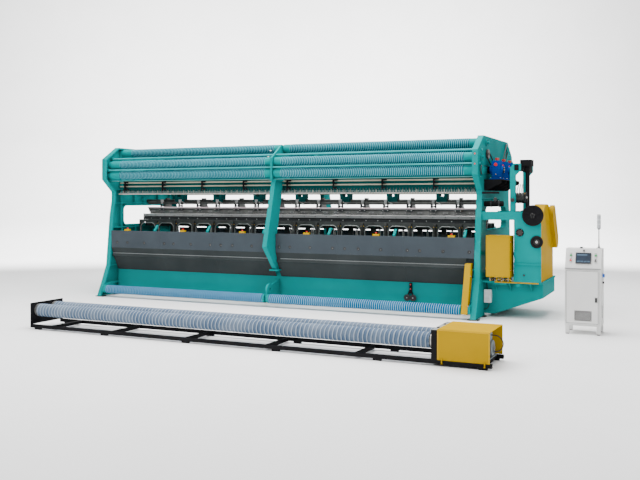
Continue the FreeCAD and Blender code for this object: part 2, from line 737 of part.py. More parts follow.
def drive_case():
    """The gear case on the platform, sheet by sheet, with the portal beams towards the end frame."""
    x0 = right_x + case_start
    x1 = x0 + case_length
    end = right_x + platform_length - 8
    w = case_sheet
    y0 = case_front_y + case_front_plate
    y1 = y0 + case_depth
    z0, z1 = platform_top_z, case_top_z
    front = box(x0, end, case_front_y, y0, z0, z1)
    bore = rod_y(handwheel_x, case_front_y - 1, y0 + 1, handwheel_z, handwheel_journal + journal_gap)
    ledge = box(x0, end, case_front_y - 14, case_front_y, 930.0, 960.0)
    walls = [box(x0, x0 + w, y0, y1, z0, z1), box(x1 - w, x1, y0, y1, z0, z1),
             box(x0 + w, x1 - w, y1 - w, y1, z0, z1), box(x0 + w, x1 - w, y0, y1 - w, z0, z0 + w),
             box(x0 + w, x1 - w, y0, y0 + case_lid, z1 - w, z1),
             box(x0 + w, x1 - w, y1 - case_lid, y1 - w, z1 - w, z1)]
    low = case_top_z - portal_height
    beams = [box(right_x, x0, case_front_y, case_front_y + portal_width, low, case_top_z),
             box(right_x, x0, y1 - portal_width, y1, low, case_top_z)]
    return [fuse([front, ledge]).cut(bore)] + walls + beams


belt_guard_y = (122.0, 1440.0)


def belt_guard():
    """The arched sheet guard over the main belt, open towards the gear case."""
    x0 = right_x + case_start + case_length
    x1 = x0 + guard_width
    y0, y1 = belt_guard_y
    r = (y1 - y0) / 2
    yc, spring = (y0 + y1) / 2, 1300.0
    wall = 5.0

    def arch(inset):
        rr = r - inset
        base = platform_top_z
        edges = [Part.LineSegment(V(yc - rr, base, 0), V(yc - rr, spring, 0)).toShape(),
                 Part.Arc(V(yc - rr, spring, 0), V(yc, spring + rr, 0), V(yc + rr, spring, 0)).toShape(),
                 Part.LineSegment(V(yc + rr, spring, 0), V(yc + rr, base, 0)).toShape(),
                 Part.LineSegment(V(yc + rr, base, 0), V(yc - rr, base, 0)).toShape()]
        return Part.Face(Part.Wire(edges))

    return [across_x(arch(0.0), x0, x1).cut(across_x(arch(wall), x0 - 1, x1 - wall))]


def oval_guard():
    """The flat oval guard over the motor belt, outside the arched one."""
    x0 = right_x + case_start + case_length + guard_width
    a, b, r = V(1150, 1790, 0), V(1480, 1310, 0), 150.0
    along = (b - a).normalize()
    side = V(-along.y, along.x, 0)
    edges = [Part.LineSegment(a + side * r, b + side * r).toShape(),
             Part.Arc(b + side * r, b + along * r, b - side * r).toShape(),
             Part.LineSegment(b - side * r, a - side * r).toShape(),
             Part.Arc(a - side * r, a - along * r, a + side * r).toShape()]
    solid = across_x(Part.Face(Part.Wire(edges)), x0, x0 + 70)
    return [solid]


def handwheel():
    """The disc on the front of the gear case, on its stub shaft."""
    x = handwheel_x
    disc = [rod_y(x, case_front_y - 46, case_front_y - 8, handwheel_z, handwheel_radius),
            rod_y(x, case_front_y - 60, case_front_y - 46, handwheel_z, 52.0),
            rod_y(x, case_front_y - 8, case_front_y + 60, handwheel_z, handwheel_journal)]
    return [fuse(disc)]


handwheel_x = right_x + case_start + 320


def main_shaft():
    """The eccentric shaft under the needle bed."""
    pieces = [rod_x(-20.0, right_x + case_start, centre_y, main_shaft_z, main_shaft_radius)]
    for x in spaced(inner_left, inner_right, 8):
        pieces.append(Part.makeCylinder(70, 50, V(x - 25, centre_y, main_shaft_z + 22), V(1, 0, 0)))
    return [fuse(pieces)]


def posts():
    """Two posts on the portal beams with spread heads, and the cross tube through the heads."""
    x0 = right_x + post_x
    x1 = x0 + post_size
    z0, z1 = case_top_z, case_top_z + post_height
    found = []
    y_front = case_front_y + 20
    for y in (y_front, y_front + post_gap_y):
        face = outline([(x0, z0), (x1, z0), (x1, z1 - 200), (x1 + 85, z1 - 110),
                        (x1 + 85, z1), (x0 + 60, z1), (x0, z1 - 70)])
        post = across_y(face, y, y + 70)
        hole = box(x0 + 76, x0 + 146, y - 1, y + 71, z1 - 118, z1 - 22)
        foot = box(x0 - 25, min(x1 + 25, right_x + case_start - 1), y - 15, y + 70, z0, z0 + 16)
        found.append(fuse([post, foot]).cut(hole))
    return found


def pattern_unit():
    """The shogging drive on its cross tube: a housing with a motor drum and two guide columns."""
    x0 = right_x + post_x
    z1 = case_top_z + post_height
    y0 = case_front_y + 20 - 12
    tube = box(x0 + 76, x0 + 146, y0, y0 + post_gap_y + 94, z1 - 118, z1 - 22)
    ym = y0 + post_gap_y * 0.62
    housing = box(x0 + 60, x0 + 250, ym - 140, ym + 140, z1 - 22, z1 + 90)
    drum = rod_y(x0 + 185, ym - 170, ym + 170, z1 - 95, 38.0)
    cheek = box(x0 + 146, x0 + 225, ym - 120, ym + 120, z1 - 140, z1 - 22)
    legs = [box(x0 + 150, x0 + 190, ym - 100, ym - 60, case_top_z, z1 - 140),
            box(x0 + 150, x0 + 190, ym + 60, ym + 100, case_top_z, z1 - 140)]
    return [fuse([tube, housing, drum, cheek] + legs)]


def gearbox_bracket():
    """The ribbed shelf on the outside of the right end frame."""
    x0, x1 = right_x, right_x + bracket_reach
    y0, y1 = bracket_y
    top = neck_z + bracket_z
    shelf = box(x0, x1, y0, y1, top - 18, top)
    back = box(x0, x0 + 16, y0, y1, top - 190, top - 18)
    ribs = []
    for y in [y0 + (y1 - y0 - 16) * i / 4 for i in range(5)]:
        face = outline([(x0, top - 190), (x0 + 60, top - 190), (x1, top - 60),
                        (x1, top - 18), (x0, top - 18)])
        ribs.append(across_y(face, y, y + 16))
    return [fuse([shelf, back] + ribs)]


def gearbox_centres():
    y0, y1 = bracket_y
    mid = (y0 + y1) / 2
    return [mid + gearbox_pitch * (i - (gearbox_count - 1) / 2) for i in range(gearbox_count)]


def speed_gearboxes():
    """Variable speed gearboxes: a foot, a ribbed case and a round output face."""
    found = []
    top = neck_z + bracket_z
    for y in gearbox_centres():
        foot = box(right_x + 70, right_x + 270, y - 150, y + 150, top, top + 22)
        case = box(right_x + 95, right_x + 245, y - 105, y + 105, top + 22, top + 330)
        case = case.makeFillet(18, [e for e in case.Edges if abs(e.tangentAt(e.FirstParameter).z) > 0.9])
        flange = rod_x(right_x + 60, right_x + 95, y, top + 170, 84.0)
        nose = rod_x(right_x + 245, right_x + 285, y, top + 170, 70.0)
        ribs = [box(right_x + 88, right_x + 252, y - 112, y + 112, top + 60 + 42 * k, top + 72 + 42 * k)
                for k in range(6)]
        output = rod_x(right_x + 20, right_x + 60, y, top + 170, 20.0)
        found.append(fuse([foot, case, flange, nose, output] + ribs))
    return found


def gearbox_caps():
    """Filler caps on the gearboxes."""
    found = []
    top = neck_z + bracket_z + 330
    for y in gearbox_centres():
        found.append(fuse([rod_z(right_x + 170, y, top, top + 18, 20.0),
                           rod_z(right_x + 170, y, top + 18, top + 52, 34.0)]))
    return found


def side_cover():
    """The tank with its cover at the front of the drive end, on two stand-offs."""
    x0, x1 = right_x + 100, right_x + 510
    z0, z1 = 720.0, 1425.0
    body = box(x0, x1, -20.0, 300.0, z0, z1)
    body = body.makeFillet(8, [e for e in body.Edges if abs(e.tangentAt(e.FirstParameter).z) > 0.9])
    legs = [box(x, x + 50, 140.0, 260.0, platform_top_z, z0) for x in (x0 + 30, x1 - 80)]
    return [fuse([body] + legs)]


def terminal_box():
    x0 = right_x + 10
    return [box(x0, x0 + 125, platform_wall_y - 75, platform_wall_y, lower_lead[0][2], upper_lead[0][2])]


def stop_spots():
    step = (inner_right - inner_left - 2 * stop_margin) / (stop_count - 1)
    return [inner_left + stop_margin + step * i for i in range(stop_count)]


def stop_boxes():
    """Push button boxes on the front guards' top edge, each with its collar."""
    found = []
    for x in stop_spots():
        body = box(x - 62, x + 62, 4.0, 62.0, guard_top_z, guard_top_z + 34)
        collar = rod_z(x, 33.0, guard_top_z + 34, guard_top_z + 40, 19.0)
        hole = rod_z(x, 33.0, guard_top_z + 14, guard_top_z + 41, 8.0 + run_gap)
        found.append(fuse([body, collar]).cut(hole))
    return found


def stop_button(x):
    z = guard_top_z + 40
    return [fuse([rod_z(x, 33.0, z - 18, z + 8, 8.0), rod_z(x, 33.0, z + 8, z + 24, 19.0)])]


# ------------------------------------------------------------------ winder
wx0, wx1 = winder_x, winder_x + winder_length
wy0, wy1 = winder_front_y, winder_front_y + winder_depth
winder_drive_x = wx1 - winder_box_length
cover_end_x = wx1 - 22.0
winder_mid_y = (wy0 + wy1) / 2
roller_run = (wx0 + 14, winder_drive_x - 90)


def winder_frame():
    """Angle rails, cross members, feet, the left end plate and the right bearing stand."""
    found = [box(wx0, wx1, wy0, wy0 + winder_rail, 26.0, 26.0 + winder_rail),
             box(wx0, wx1, wy1 - winder_rail, wy1, 26.0, 26.0 + winder_rail)]
    for f in (0.06, 0.22, 0.40, 0.58, 0.76, 0.90, 0.985):
        x = wx0 + winder_length * f
        found.append(box(x - 25, x + 25, wy0 + winder_rail, wy1 - winder_rail, 26.0, 26.0 + winder_rail))
    for f in (0.02, 0.2, 0.4, 0.6, 0.8, 0.985):
        x = wx0 + winder_length * f
        for y in (wy0 + winder_rail / 2, wy1 - winder_rail / 2):
            found.append(box(x - 55, x + 55, y - 25, y + 25, 0.0, 26.0))
    bore_radius = journal_radius + journal_gap
    bores = [rod_x(wx0 - 1, wx0 + 15, wy0 + y, winder_roller_z, bore_radius) for y in winder_roller_y]
    low = 26.0 + winder_rail
    found.append(box(wx0, wx0 + 12, wy0, wy1, low, winder_height - 30).cut(bores))
    a, b = winder_drive_x - 75, winder_drive_x
    stand = box(a, b, wy0, wy1, low, winder_height)
    bores = [rod_x(a - 1, b + 1, wy0 + y, winder_roller_z, bore_radius) for y in winder_roller_y]
    found.append(stand.cut(bores))
    return found


def winder_roller(y):
    y = wy0 + y
    x0, x1 = roller_run
    return [barrel(y, winder_roller_z, winder_roller_radius, x0, x1),
            rod_x(wx0 - 10, winder_drive_x + drive_gap - 6, y, winder_roller_z, journal_radius)]


def winder_cover():
    """A folded box, open below and at its outer end, with four latch bolts."""
    x0, x1 = winder_drive_x + 2, cover_end_x
    y0, y1 = wy0, wy1 + 12
    z0 = 26.0 + winder_rail
    z1 = z0 + winder_box_height - 30
    wall = 3.0
    shell = box(x0, x1, y0, y1, z0, z1).cut(box(x0 - 5, x1 + 5, y0 + wall, y1 - wall, z0 - 5, z1 - wall))
    pins = []
    for x in (x0 + 60, x1 - 60):
        pins += [rod_z(x, y0 - 12, z0 - 40, z0 + 18, 8.0), rod_z(x, y0 - 12, z0 - 44, z0 - 36, 11.0),
                 box(x - 8, x + 8, y0 - 12, y0 + wall, z0 + 1, z0 + 18)]
    return [fuse([shell] + pins)]


motor_z = 215.0
motor_radius = 88.0
drive_gap = 66.0             # from the bearing stand to the gear case; the roller shafts end in it


def winder_drive():
    """The geared motor on its plate, with its connection box and a plug socket at its rear end."""
    low = 26.0 + winder_rail
    x0 = winder_drive_x + drive_gap
    x1 = cover_end_x - 60.0
    y = winder_mid_y
    plate = box(winder_drive_x + 1, x1, wy0 + winder_rail, wy1 - winder_rail, low, low + 12)
    gear = box(x0, x0 + 190, y - 105, y + 105, low + 12, motor_z + 105)
    motor = rod_x(x0 + 190, x1, y, motor_z, motor_radius)
    fan = rod_x(x1 - 70, x1 + 20, y, motor_z, motor_radius + 7)
    foot = box(x0 + 260, x1 - 90, y - 75, y + 75, low + 12, motor_z - 60)
    connection = box(x0 + 260, cover_end_x + motor_lead[0][0], y - 55, y + 55, motor_z + motor_radius - 15,
                     connection_top_z)
    socket = rod_x(x1 + 20, cover_end_x + motor_lead[-1][0], y + motor_lead[-1][1], motor_lead[-1][2], 17.0)
    return [fuse([plate, gear, motor, fan, foot, connection, socket])]


connection_top_z = 400.0
motor_lead_radius = 6.5
box_lead_radius = 6.0
# the motor lead, out past the open end of the cover and back to the plug socket:
# distance from the cover's end, from the middle of the winder, and height
motor_lead = [(-62.0, -10.0, 372.0), (-20.0, -10.0, 372.0), (22.0, -10.0, 368.0), (66.0, -9.0, 336.0),
              (90.0, -6.0, 280.0), (76.0, 2.0, 222.0), (38.0, 8.0, 180.0), (-6.0, 10.0, 170.0),
              (-24.0, 10.0, 170.0)]
# the leads of the terminal box: distance from the right end frame, from the front plane, and height
upper_lead = [(60.0, 262.0, 475.0), (60.0, 262.0, 510.0), (54.0, 264.0, 545.0), (50.0, 264.0, 578.0),
              (50.0, 264.0, 610.0)]
lower_lead = [(90.0, 262.0, 250.0), (90.0, 262.0, 212.0), (82.0, 262.0, 178.0), (60.0, 262.0, 150.0),
              (30.0, 262.0, 132.0), (0.0, 262.0, 132.0)]


def cables():
    """The winder's motor lead and the two leads of the terminal box."""
    lead = [(cover_end_x + x, winder_mid_y + y, z) for x, y, z in motor_lead]
    short_leads = [[(right_x + x, y, z) for x, y, z in route] for route in (upper_lead, lower_lead)]
    return [smooth_tube(lead, motor_lead_radius)] + [smooth_tube(r, box_lead_radius) for r in short_leads]


def smooth_tube(points, radius):
    """A round tube along straight runs with tangent arcs between them."""
    points = [V(*p) for p in points]
    edges, at = [], points[0]
    for a, b, c in zip(points, points[1:], points[2:]):
        back, ahead = (a - b), (c - b)
        turn = math.pi - back.getAngle(ahead)
        reach = 0.45 * min(back.Length, ahead.Length)
        start = b + back.normalize() * reach
        end = b + ahead.normalize() * reach
        bend = reach / math.tan(turn / 2)
        bisector = (back + ahead).normalize()
        middle = b + bisector * (bend / math.cos(turn / 2) - bend)
        edges += [Part.LineSegment(at, start).toShape(), Part.Arc(start, middle, end).toShape()]
        at = end
    edges.append(Part.LineSegment(at, points[-1]).toShape())
    path = Part.Wire(edges)
    first = (points[1] - points[0])
    section = Part.Wire(Part.makeCircle(radius, points[0], first))
    return path.makePipeShell([section], True, False)


# ------------------------------------------------------------------ control cabinet
cx0, cx1 = cabinet_x, cabinet_x + cabinet_width
cy0, cy1 = cabinet_front_y, cabinet_front_y + cabinet_depth
cz0 = cabinet_leg
cz1 = cabinet_leg + cabinet_body
cz2 = cz1 + cabinet_console
console_top_y = cy0 + 135.0


def console_point(x, up, out=0.0):
    """A point on the sloping console, measured up its face and out from it."""
    slope = math.atan2(cz2 - cz1, console_top_y - cy0)
    return V(x, cy0 + up * math.cos(slope) - out * math.sin(slope),
             cz1 + up * math.sin(slope) + out * math.cos(slope))


def console_normal():
    slope = math.atan2(cz2 - cz1, console_top_y - cy0)
    return V(0, -math.sin(slope), math.cos(slope))


def console_pin(x, up, low, high, radius):
    return Part.makeCylinder(radius, high - low, console_point(x, up, low), console_normal())


def console_slab(x0, x1, up0, up1, low, high):
    corners = [console_point(x0, up0, low), console_point(x1, up0, low), console_point(x1, up1, low),
               console_point(x0, up1, low)]
    face = Part.Face(Part.makePolygon(corners + corners[:1]))
    return face.extrude(console_normal() * (high - low))


control_spots = {"start": (cx0 + 440, 205.0), "stop": (cx0 + 80, 120.0),
                 "mode": (cx0 + 440, 120.0), "lamp": (cx0 + 80, 205.0)}
door_inset = 26.0
door_sheet = 18.0


def cabinet_shell():
    """The housing, sheet by sheet, with its sloping console, door frame and four legs."""
    side = [(cy0, cz0), (cy1, cz0), (cy1, cz2), (console_top_y, cz2), (cy0, cz1)]
    w = cabinet_sheet
    hollow = [(cy0 + w, cz0 + w), (cy1 - w, cz0 + w), (cy1 - w, cz2 - w),
              (console_top_y + w, cz2 - w), (cy0 + w, cz1 - w)]
    xa, xb = cx0 + w, cx1 - w
    holes = [console_pin(x, up, -20.0, 5.0, 9.0 + run_gap) for x, up in control_spots.values()]
    skin = across_x(outline(side), xa, xb).cut([across_x(outline(hollow), xa, xb)] + holes)
    low, high = cz0 + door_frame_low, cz1 - door_frame_high
    left, right = cx0 + door_inset + door_frame_side, cx1 - door_inset - door_frame_side
    front, back = cy0, cy0 + w
    spaces = [(xa, xb, cy0, cy1, cz0, cz0 + w), (xa, xb, cy1 - w, cy1, cz0 + w, cz2),
              (xa, xb, console_top_y, cy1 - w, cz2 - w, cz2), (xa, xb, cy0, console_top_y + w, cz1, cz2 - w),
              (xa, xb, front, back, cz0 + w, low), (xa, xb, front, back, high, cz1),
              (xa, left, front, back, low, high), (right, xb, front, back, low, high)]
    sheets = [skin.common(box(*space)) for space in spaces]
    sheets += [across_x(outline(side), cx0, xa), across_x(outline(side), xb, cx1)]
    lip = box(cx0, cx1, cy0 - 6, cy0, cz1 - 12, cz1 + 2)
    legs = []
    for x in (cx0 + 4, cx1 - 64):
        for y in (cy0 + 4, cy1 - 64):
            face = outline([(y, cz0), (y + 60, cz0), (y + 48, 0.0), (y + 12, 0.0)])
            legs.append(across_x(face, x, x + 60))
    return sheets + [lip] + legs + hinge_pins()


def cabinet_door():
    x0, x1 = cx0 + door_inset, cx1 - door_inset
    z0, z1 = cz0 + 30, cz1 - 32
    y1 = cy0 - 2 * run_gap
    panel = box(x0, x1, y1 - door_sheet, y1, z0, z1)
    inside = box(x0 + 3, x1 - 3, y1 - door_sheet + 2.5, y1 + 1, z0 + 3, z1 - 3)
    knuckles = [rod_z(x0 - 8, y1 - 9, z, z + 60, 7.0) for z in (z0 + 70, z1 - 130)]
    leaves = [box(x0 - 8, x0 + 2, y1 - 12, y1 - 6, z, z + 60) for z in (z0 + 70, z1 - 130)]
    hole = rod_y(x1 - 40, y1 - door_sheet - 1, y1 + 1, latch_z, 8.0 + run_gap)
    pins = [rod_z(x0 - 8, y1 - 9, z - 1, z + 61, 3.0 + journal_gap) for z in (z0 + 70, z1 - 130)]
    return [fuse([panel.cut([inside, hole])] + knuckles + leaves).cut(pins)]


latch_z = cz0 + 0.46 * cabinet_body


def hinge_pins():
    """The door's two hinge pins, each on its lug on the housing."""
    x0 = cx0 + door_inset
    y1 = cy0 - 2 * run_gap
    found = []
    for z in (cz0 + 30 + 70, cz1 - 32 - 130):
        x, y = x0 - 8, y1 - 9
        pieces = [rod_z(x, y, z - 12, z + 70, 3.0)]
        for low, high in ((z - 12, z - run_gap), (z + 60 + run_gap, z + 70)):
            pieces += [rod_z(x, y, low, high, 7.0), box(x - 7, x + 7, y, cy0, low, high)]
        found.append(fuse(pieces))
    return found


def door_latch():
    y1 = cy0 - 2 * run_gap - door_sheet
    x = cx1 - door_inset - 40
    return [fuse([rod_y(x, y1 - 6, y1 + door_sheet + 1, latch_z, 8.0),
                  box(x - 9, x + 9, y1 - 16, y1 - 1, latch_z - 34, latch_z + 34)])]


def console_fittings():
    """The screen in its bezel, the lamp, the key switches above it and the rating plate's blank."""
    screen = console_slab(cx0 + 150, cx0 + 375, 75.0, 250.0, 0.0, 9.0)
    x, up = control_spots["lamp"]
    lamp = fuse([console_pin(x, up, -15.0, 0.0, 9.0), console_pin(x, up, 0.0, 14.0, 15.0)])
    key = console_pin(cx0 + 265, 285.0, 0.0, 12.0, 13.0)
    lamp_base = box(cx0 + 200, cx0 + 240, console_top_y + 40, console_top_y + 80, cz2, cz2 + 26)
    socket = rod_x(cx1, cx1 + 34, cy0 + 250, cz1 - 120, 34.0)
    clip = rod_x(cx1, cx1 + 26, cy0 + 250, cz1 - 225, 16.0)
    return [screen, lamp, key, lamp_base, socket, clip]


def press_button(name):
    x, up = control_spots[name]
    return [fuse([console_pin(x, up, -15.0, 7.0, 9.0), console_pin(x, up, 7.0, 18.0, 15.0)])]


def mode_switch():
    x, up = control_spots["mode"]
    knob = console_pin(x, up, run_gap, 12.0, 17.0)
    grip = console_slab(x - 5, x + 5, up - 17, up + 17, 12.0, 24.0)
    return [fuse([console_pin(x, up, -15.0, 1.0, 9.0), knob, grip])]


def stack_light():
    """The signal lamp on its pole and splayed foot."""
    x, y = cx1 - 60, cy0 + 330
    foot = [rod_z(x, y, cz2, cz2 + 6, 42.0), Part.makeCone(24, 9, 70, V(x, y, cz2 + 6), V(0, 0, 1))]
    pole = rod_z(x, y, cz2 + 70, cz2 + stack_light_height - 235, 8.0)
    base = Part.makeCone(12, 28, 26, V(x, y, cz2 + stack_light_height - 240), V(0, 0, 1))
    lamps = rod_z(x, y, cz2 + stack_light_height - 214, cz2 + stack_light_height, 28.0)
    return [fuse(foot + [pole, base, lamps])]


# ------------------------------------------------------------------ the nodes
def build():
    nodes = {
        "left_end_frame": end_frame(True), "right_end_frame": end_frame(False),
        "levelling_feet": levelling_feet(), "base_beams": base_beam() + inner_frames(),
        "crossbeams": crossbeams(), "centre_columns": centre_columns(),
        "guard_panels": guard_panels() + guard_stays() + guard_catches(), "guard_skirts": guard_skirts(),
        "needle_bed": needle_bed(), "bed_fittings": bed_studs() + trick_plates(),
        "front_needle_bar": needle_bar(True), "rear_needle_bar": needle_bar(False),
        "swing_carriage": swing_carriage(), "carriage_hangers": hangers(), "yarn_hooks": yarn_hooks(),
        "yarn_rods": yarn_rods() + comb_rails(), "belt_idler": belt_idler(),
        "take_down_roller": take_down_roller(), "take_down_bearings": take_down_bearings(),
        "chain_guard": chain_guard(), "drive_platform": drive_platform(),
        "drive_case": drive_case() + posts(), "belt_guards": belt_guard() + oval_guard(),
        "handwheel": handwheel(), "main_shaft": main_shaft(), "pattern_unit": pattern_unit(),
        "gearbox_bracket": gearbox_bracket(), "speed_gearboxes": speed_gearboxes() + gearbox_caps(),
        "side_cover": side_cover(), "terminal_box": terminal_box(), "cables": cables(),
        "stop_boxes": stop_boxes(), "winder_frame": winder_frame(), "winder_cover": winder_cover(),
        "winder_drive": winder_drive(), "cabinet_shell": cabinet_shell(), "cabinet_door": cabinet_door(),
        "door_latch": door_latch(), "cabinet_fittings": console_fittings() + stack_light(),
        "start_button": press_button("start"), "stop_button": press_button("stop"),
        "mode_switch": mode_switch(),
    }
    for index in range(guide_bar_count):
        nodes[f"guide_bar_{index + 1}"] = guide_bar(index)
    for level in roller_spots:
        nodes[f"front_{level}_roller"] = let_off_roller(level, False, level == "lower")
        nodes[f"rear_{level}_roller"] = let_off_roller(level, True, level == "upper")
    for index, x in enumerate(stop_spots()):
        nodes[f"guard_button_{index + 1}"] = stop_button(x)
    for side, y in zip(("front", "rear"), winder_roller_y):
        nodes[f"winder_{side}_roller"] = winder_roller(y)
    return nodes


def whole_box(nodes):
    total = FreeCAD.BoundBox()
    for shapes in nodes.values():
        for shape in shapes:
            total.add(shape.BoundBox)
    return total


nodes = build()
extent = whole_box(nodes)
origin_shift = V(-extent.Center.x, -extent.Center.y, 0)

if __name__ == "__main__":
    os.makedirs("parts", exist_ok=True)
    for name, shapes in nodes.items():
        for shape in shapes:
            shape.translate(origin_shift)
        group = Part.makeCompound([solid for shape in shapes for solid in shape.Solids])
        group.exportStep(f"parts/{name}.step")
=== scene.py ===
import math

import bpy
import numpy as np
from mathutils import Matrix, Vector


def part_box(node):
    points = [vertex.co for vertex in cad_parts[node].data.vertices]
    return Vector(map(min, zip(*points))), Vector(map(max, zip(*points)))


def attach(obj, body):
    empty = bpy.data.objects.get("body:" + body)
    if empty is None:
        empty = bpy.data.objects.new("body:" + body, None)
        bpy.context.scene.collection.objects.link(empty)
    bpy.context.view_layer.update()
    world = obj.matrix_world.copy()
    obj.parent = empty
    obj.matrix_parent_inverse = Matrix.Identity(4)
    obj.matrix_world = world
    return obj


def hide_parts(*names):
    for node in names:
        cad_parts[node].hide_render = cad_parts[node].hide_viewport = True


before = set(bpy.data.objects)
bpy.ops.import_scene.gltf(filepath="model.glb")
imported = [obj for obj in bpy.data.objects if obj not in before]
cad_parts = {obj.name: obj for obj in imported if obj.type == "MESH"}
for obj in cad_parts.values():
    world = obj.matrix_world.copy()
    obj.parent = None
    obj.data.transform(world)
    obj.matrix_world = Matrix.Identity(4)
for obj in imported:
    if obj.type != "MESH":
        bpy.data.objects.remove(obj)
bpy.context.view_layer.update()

print("frame loaded:", len(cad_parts), "nodes")


def nodeBox(name):
    low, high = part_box(name)
    return np.array(low), np.array(high)


def nodeCentre(name):
    low, high = nodeBox(name)
    return (low + high) / 2


# camera first: level, with a small downward shift
# the focal length is for an image 640 wide; the place is measured from the left end frame's outer
# face and the guards' plane
view = {"imageWide": 640, "focalLength": 793.1, "sensor": 36.0, "turn": math.radians(25.01),
        "place": (11.306, -13.471, 2.03), "shiftDown": 0.0625, "farClip": 200.0}
leftLow, leftHigh = nodeBox("left_end_frame")
rightLow, rightHigh = nodeBox("right_end_frame")
guardLow = nodeBox("guard_panels")[0]
machineZero = np.array([leftLow[0], guardLow[1], 0.0])


def addCamera():
    data = bpy.data.cameras.new("camera")
    data.sensor_width = view["sensor"]
    data.lens = view["focalLength"] / view["imageWide"] * view["sensor"]
    data.shift_y = -view["shiftDown"]
    data.clip_end = view["farClip"]
    camera = bpy.data.objects.new("camera", data)
    camera.location = machineZero + np.array(view["place"])
    camera.rotation_euler = (math.pi / 2, 0.0, view["turn"])
    bpy.context.scene.collection.objects.link(camera)
    bpy.context.scene.camera = camera


addCamera()
print("camera placed")


# materials: each has colour variation, a roughness map and a bump, on object coordinates
class Nodes:
    def __init__(self, name):
        self.material = bpy.data.materials.new(name)
        self.material.use_nodes = True
        self.tree = self.material.node_tree
        self.shader = self.tree.nodes["Principled BSDF"]
        self.place = self.add("TexCoord").outputs["Object"]

    # each input takes a number, a colour or another node's output
    def feed(self, node, inputs):
        for key, value in inputs.items():
            if isinstance(value, bpy.types.NodeSocket):
                self.tree.links.new(value, node.inputs[key])
            else:
                node.inputs[key].default_value = value

    def add(self, kind, inputs={}, **settings):
        node = self.tree.nodes.new("ShaderNode" + kind)
        for key, value in settings.items():
            setattr(node, key, value)
        self.feed(node, inputs)
        return node

    def noise(self, scale, detail=3.0, rough=0.5, stretch=(1, 1, 1)):
        mapping = self.add("Mapping", {"Scale": stretch, "Vector": self.place})
        return self.add("TexNoise", {"Scale": scale, "Detail": detail, "Roughness": rough,
                                     "Vector": mapping.outputs["Vector"]}).outputs["Fac"]

    def math(self, operation, a, b=0.0, clamp=False):
        return self.add("Math", {0: a, 1: b}, operation=operation, use_clamp=clamp).outputs[0]

    def ramp(self, factor, stops):
        node = self.add("ValToRGB", {"Fac": factor})
        ramp = node.color_ramp
        while len(ramp.elements) < len(stops):
            ramp.elements.new(0.5)
        for element, (position, colour) in zip(ramp.elements, stops):
            element.position = position
            element.color = (*colour, 1)
        return node.outputs["Color"]

    def mix(self, factor, a, b):
        a, b = ((*c, 1) if isinstance(c, tuple) else c for c in (a, b))
        return self.add("Mix", {6: a, 7: b, 0: factor}, data_type="RGBA").outputs[2]

    def spread(self, factor, low, high):
        return self.add("MapRange", {"To Min": low, "To Max": high, "Value": factor}).outputs["Result"]

    # gloss comes from a thin coat alone
    def coat(self, weight, rough):
        self.feed(self.shader, {"Coat Weight": weight, "Coat Roughness": rough, "Specular IOR Level": 0.0})

    def finish(self, colour, rough, bumpFrom, bump, distance):
        bumped = self.add("Bump", {"Strength": bump, "Distance": distance, "Height": bumpFrom}).outputs["Normal"]
        self.feed(self.shader, {"Base Color": colour, "Roughness": rough, "Normal": bumped})
        return self.material


def scaled(colour, factor):
    return tuple(min(1.0, c * factor) for c in colour)


# enamel: slow drift of tone, crevices darkened as painted shade, edges painted lighter as a highlight broken up
# like rubbed wear, an orange-peel bump
enamelLook = {"cavity": 0.12, "cavityTone": 0.35, "edgeRadius": 0.006, "edgeGain": 3.0, "peel": 0.05,
              "coat": (0.05, 0.15)}


def enamel(name, colour, rough=0.35, drift=0.12, creviceShade=0.5, edge=1.35):
    n = Nodes(name)
    tone = n.ramp(n.noise(1.6, 4.0), [(0.3, scaled(colour, 1 - drift)), (0.7, scaled(colour, 1 + drift))])
    # painted shade: where ambient occlusion finds a crevice, the tone is pulled towards a dim copy of the colour
    cavity = n.add("AmbientOcclusion", {"Distance": enamelLook["cavity"]}, samples=4)
    shade = n.spread(cavity.outputs["AO"], 1.0, 0.0)
    tone = n.mix(n.math("MULTIPLY", shade, creviceShade, True), tone, scaled(colour, enamelLook["cavityTone"]))
    # painted highlight: faces near an edge, found by the bevel normal, take a lighter copy of the colour, broken up
    # by noise like rubbed wear
    bevel = n.add("Bevel", {"Radius": enamelLook["edgeRadius"]}, samples=3)
    geometry = n.add("NewGeometry")
    dot = n.add("VectorMath", {0: bevel.outputs["Normal"], 1: geometry.outputs["Normal"]}, operation="DOT_PRODUCT")
    edgeWearAndHighlight = n.math("SUBTRACT", 1.0, dot.outputs["Value"])
    edgeWearAndHighlight = n.math("MULTIPLY", edgeWearAndHighlight, n.noise(30.0, 2.0), True)
    tone = n.mix(n.math("MULTIPLY", edgeWearAndHighlight, enamelLook["edgeGain"], True), tone, scaled(colour, edge))
    fine = n.noise(160.0, 2.0)
    n.coat(*enamelLook["coat"])
    return n.finish(tone, n.spread(n.noise(9.0, 3.0), rough - 0.07, rough + 0.1), fine, enamelLook["peel"], 0.001)


# bare metal: fine drawn lines along x, oil stains in the tone and the gloss
def bareMetal(name, colour, rough=0.3, lines=(1, 40, 40), stain=0.35, metallic=0.9):
    n = Nodes(name)
    stains = n.noise(5.0, 5.0, 0.6)
    tone = n.ramp(stains, [(0.35, scaled(colour, 1 - stain)), (0.65, scaled(colour, 1.1))])
    drawn = n.noise(20.0, 3.0, 0.6, lines)
    n.feed(n.shader, {"Metallic": metallic})
    return n.finish(tone, n.spread(drawn, rough - 0.1, rough + 0.2), drawn, 0.12, 0.0006)


# moulded plastic or rubber: faint mottling and a fine grain
def moulded(name, colour, rough=0.45, grain=220.0, bump=0.12, coat=0.0):
    n = Nodes(name)
    tone = n.ramp(n.noise(12.0, 3.0), [(0.3, scaled(colour, 0.85)), (0.7, scaled(colour, 1.15))])
    n.feed(n.shader, {"Coat Weight": coat})
    return n.finish(tone, n.spread(n.noise(30.0), rough - 0.06, rough + 0.08), n.noise(grain), bump, 0.0005)


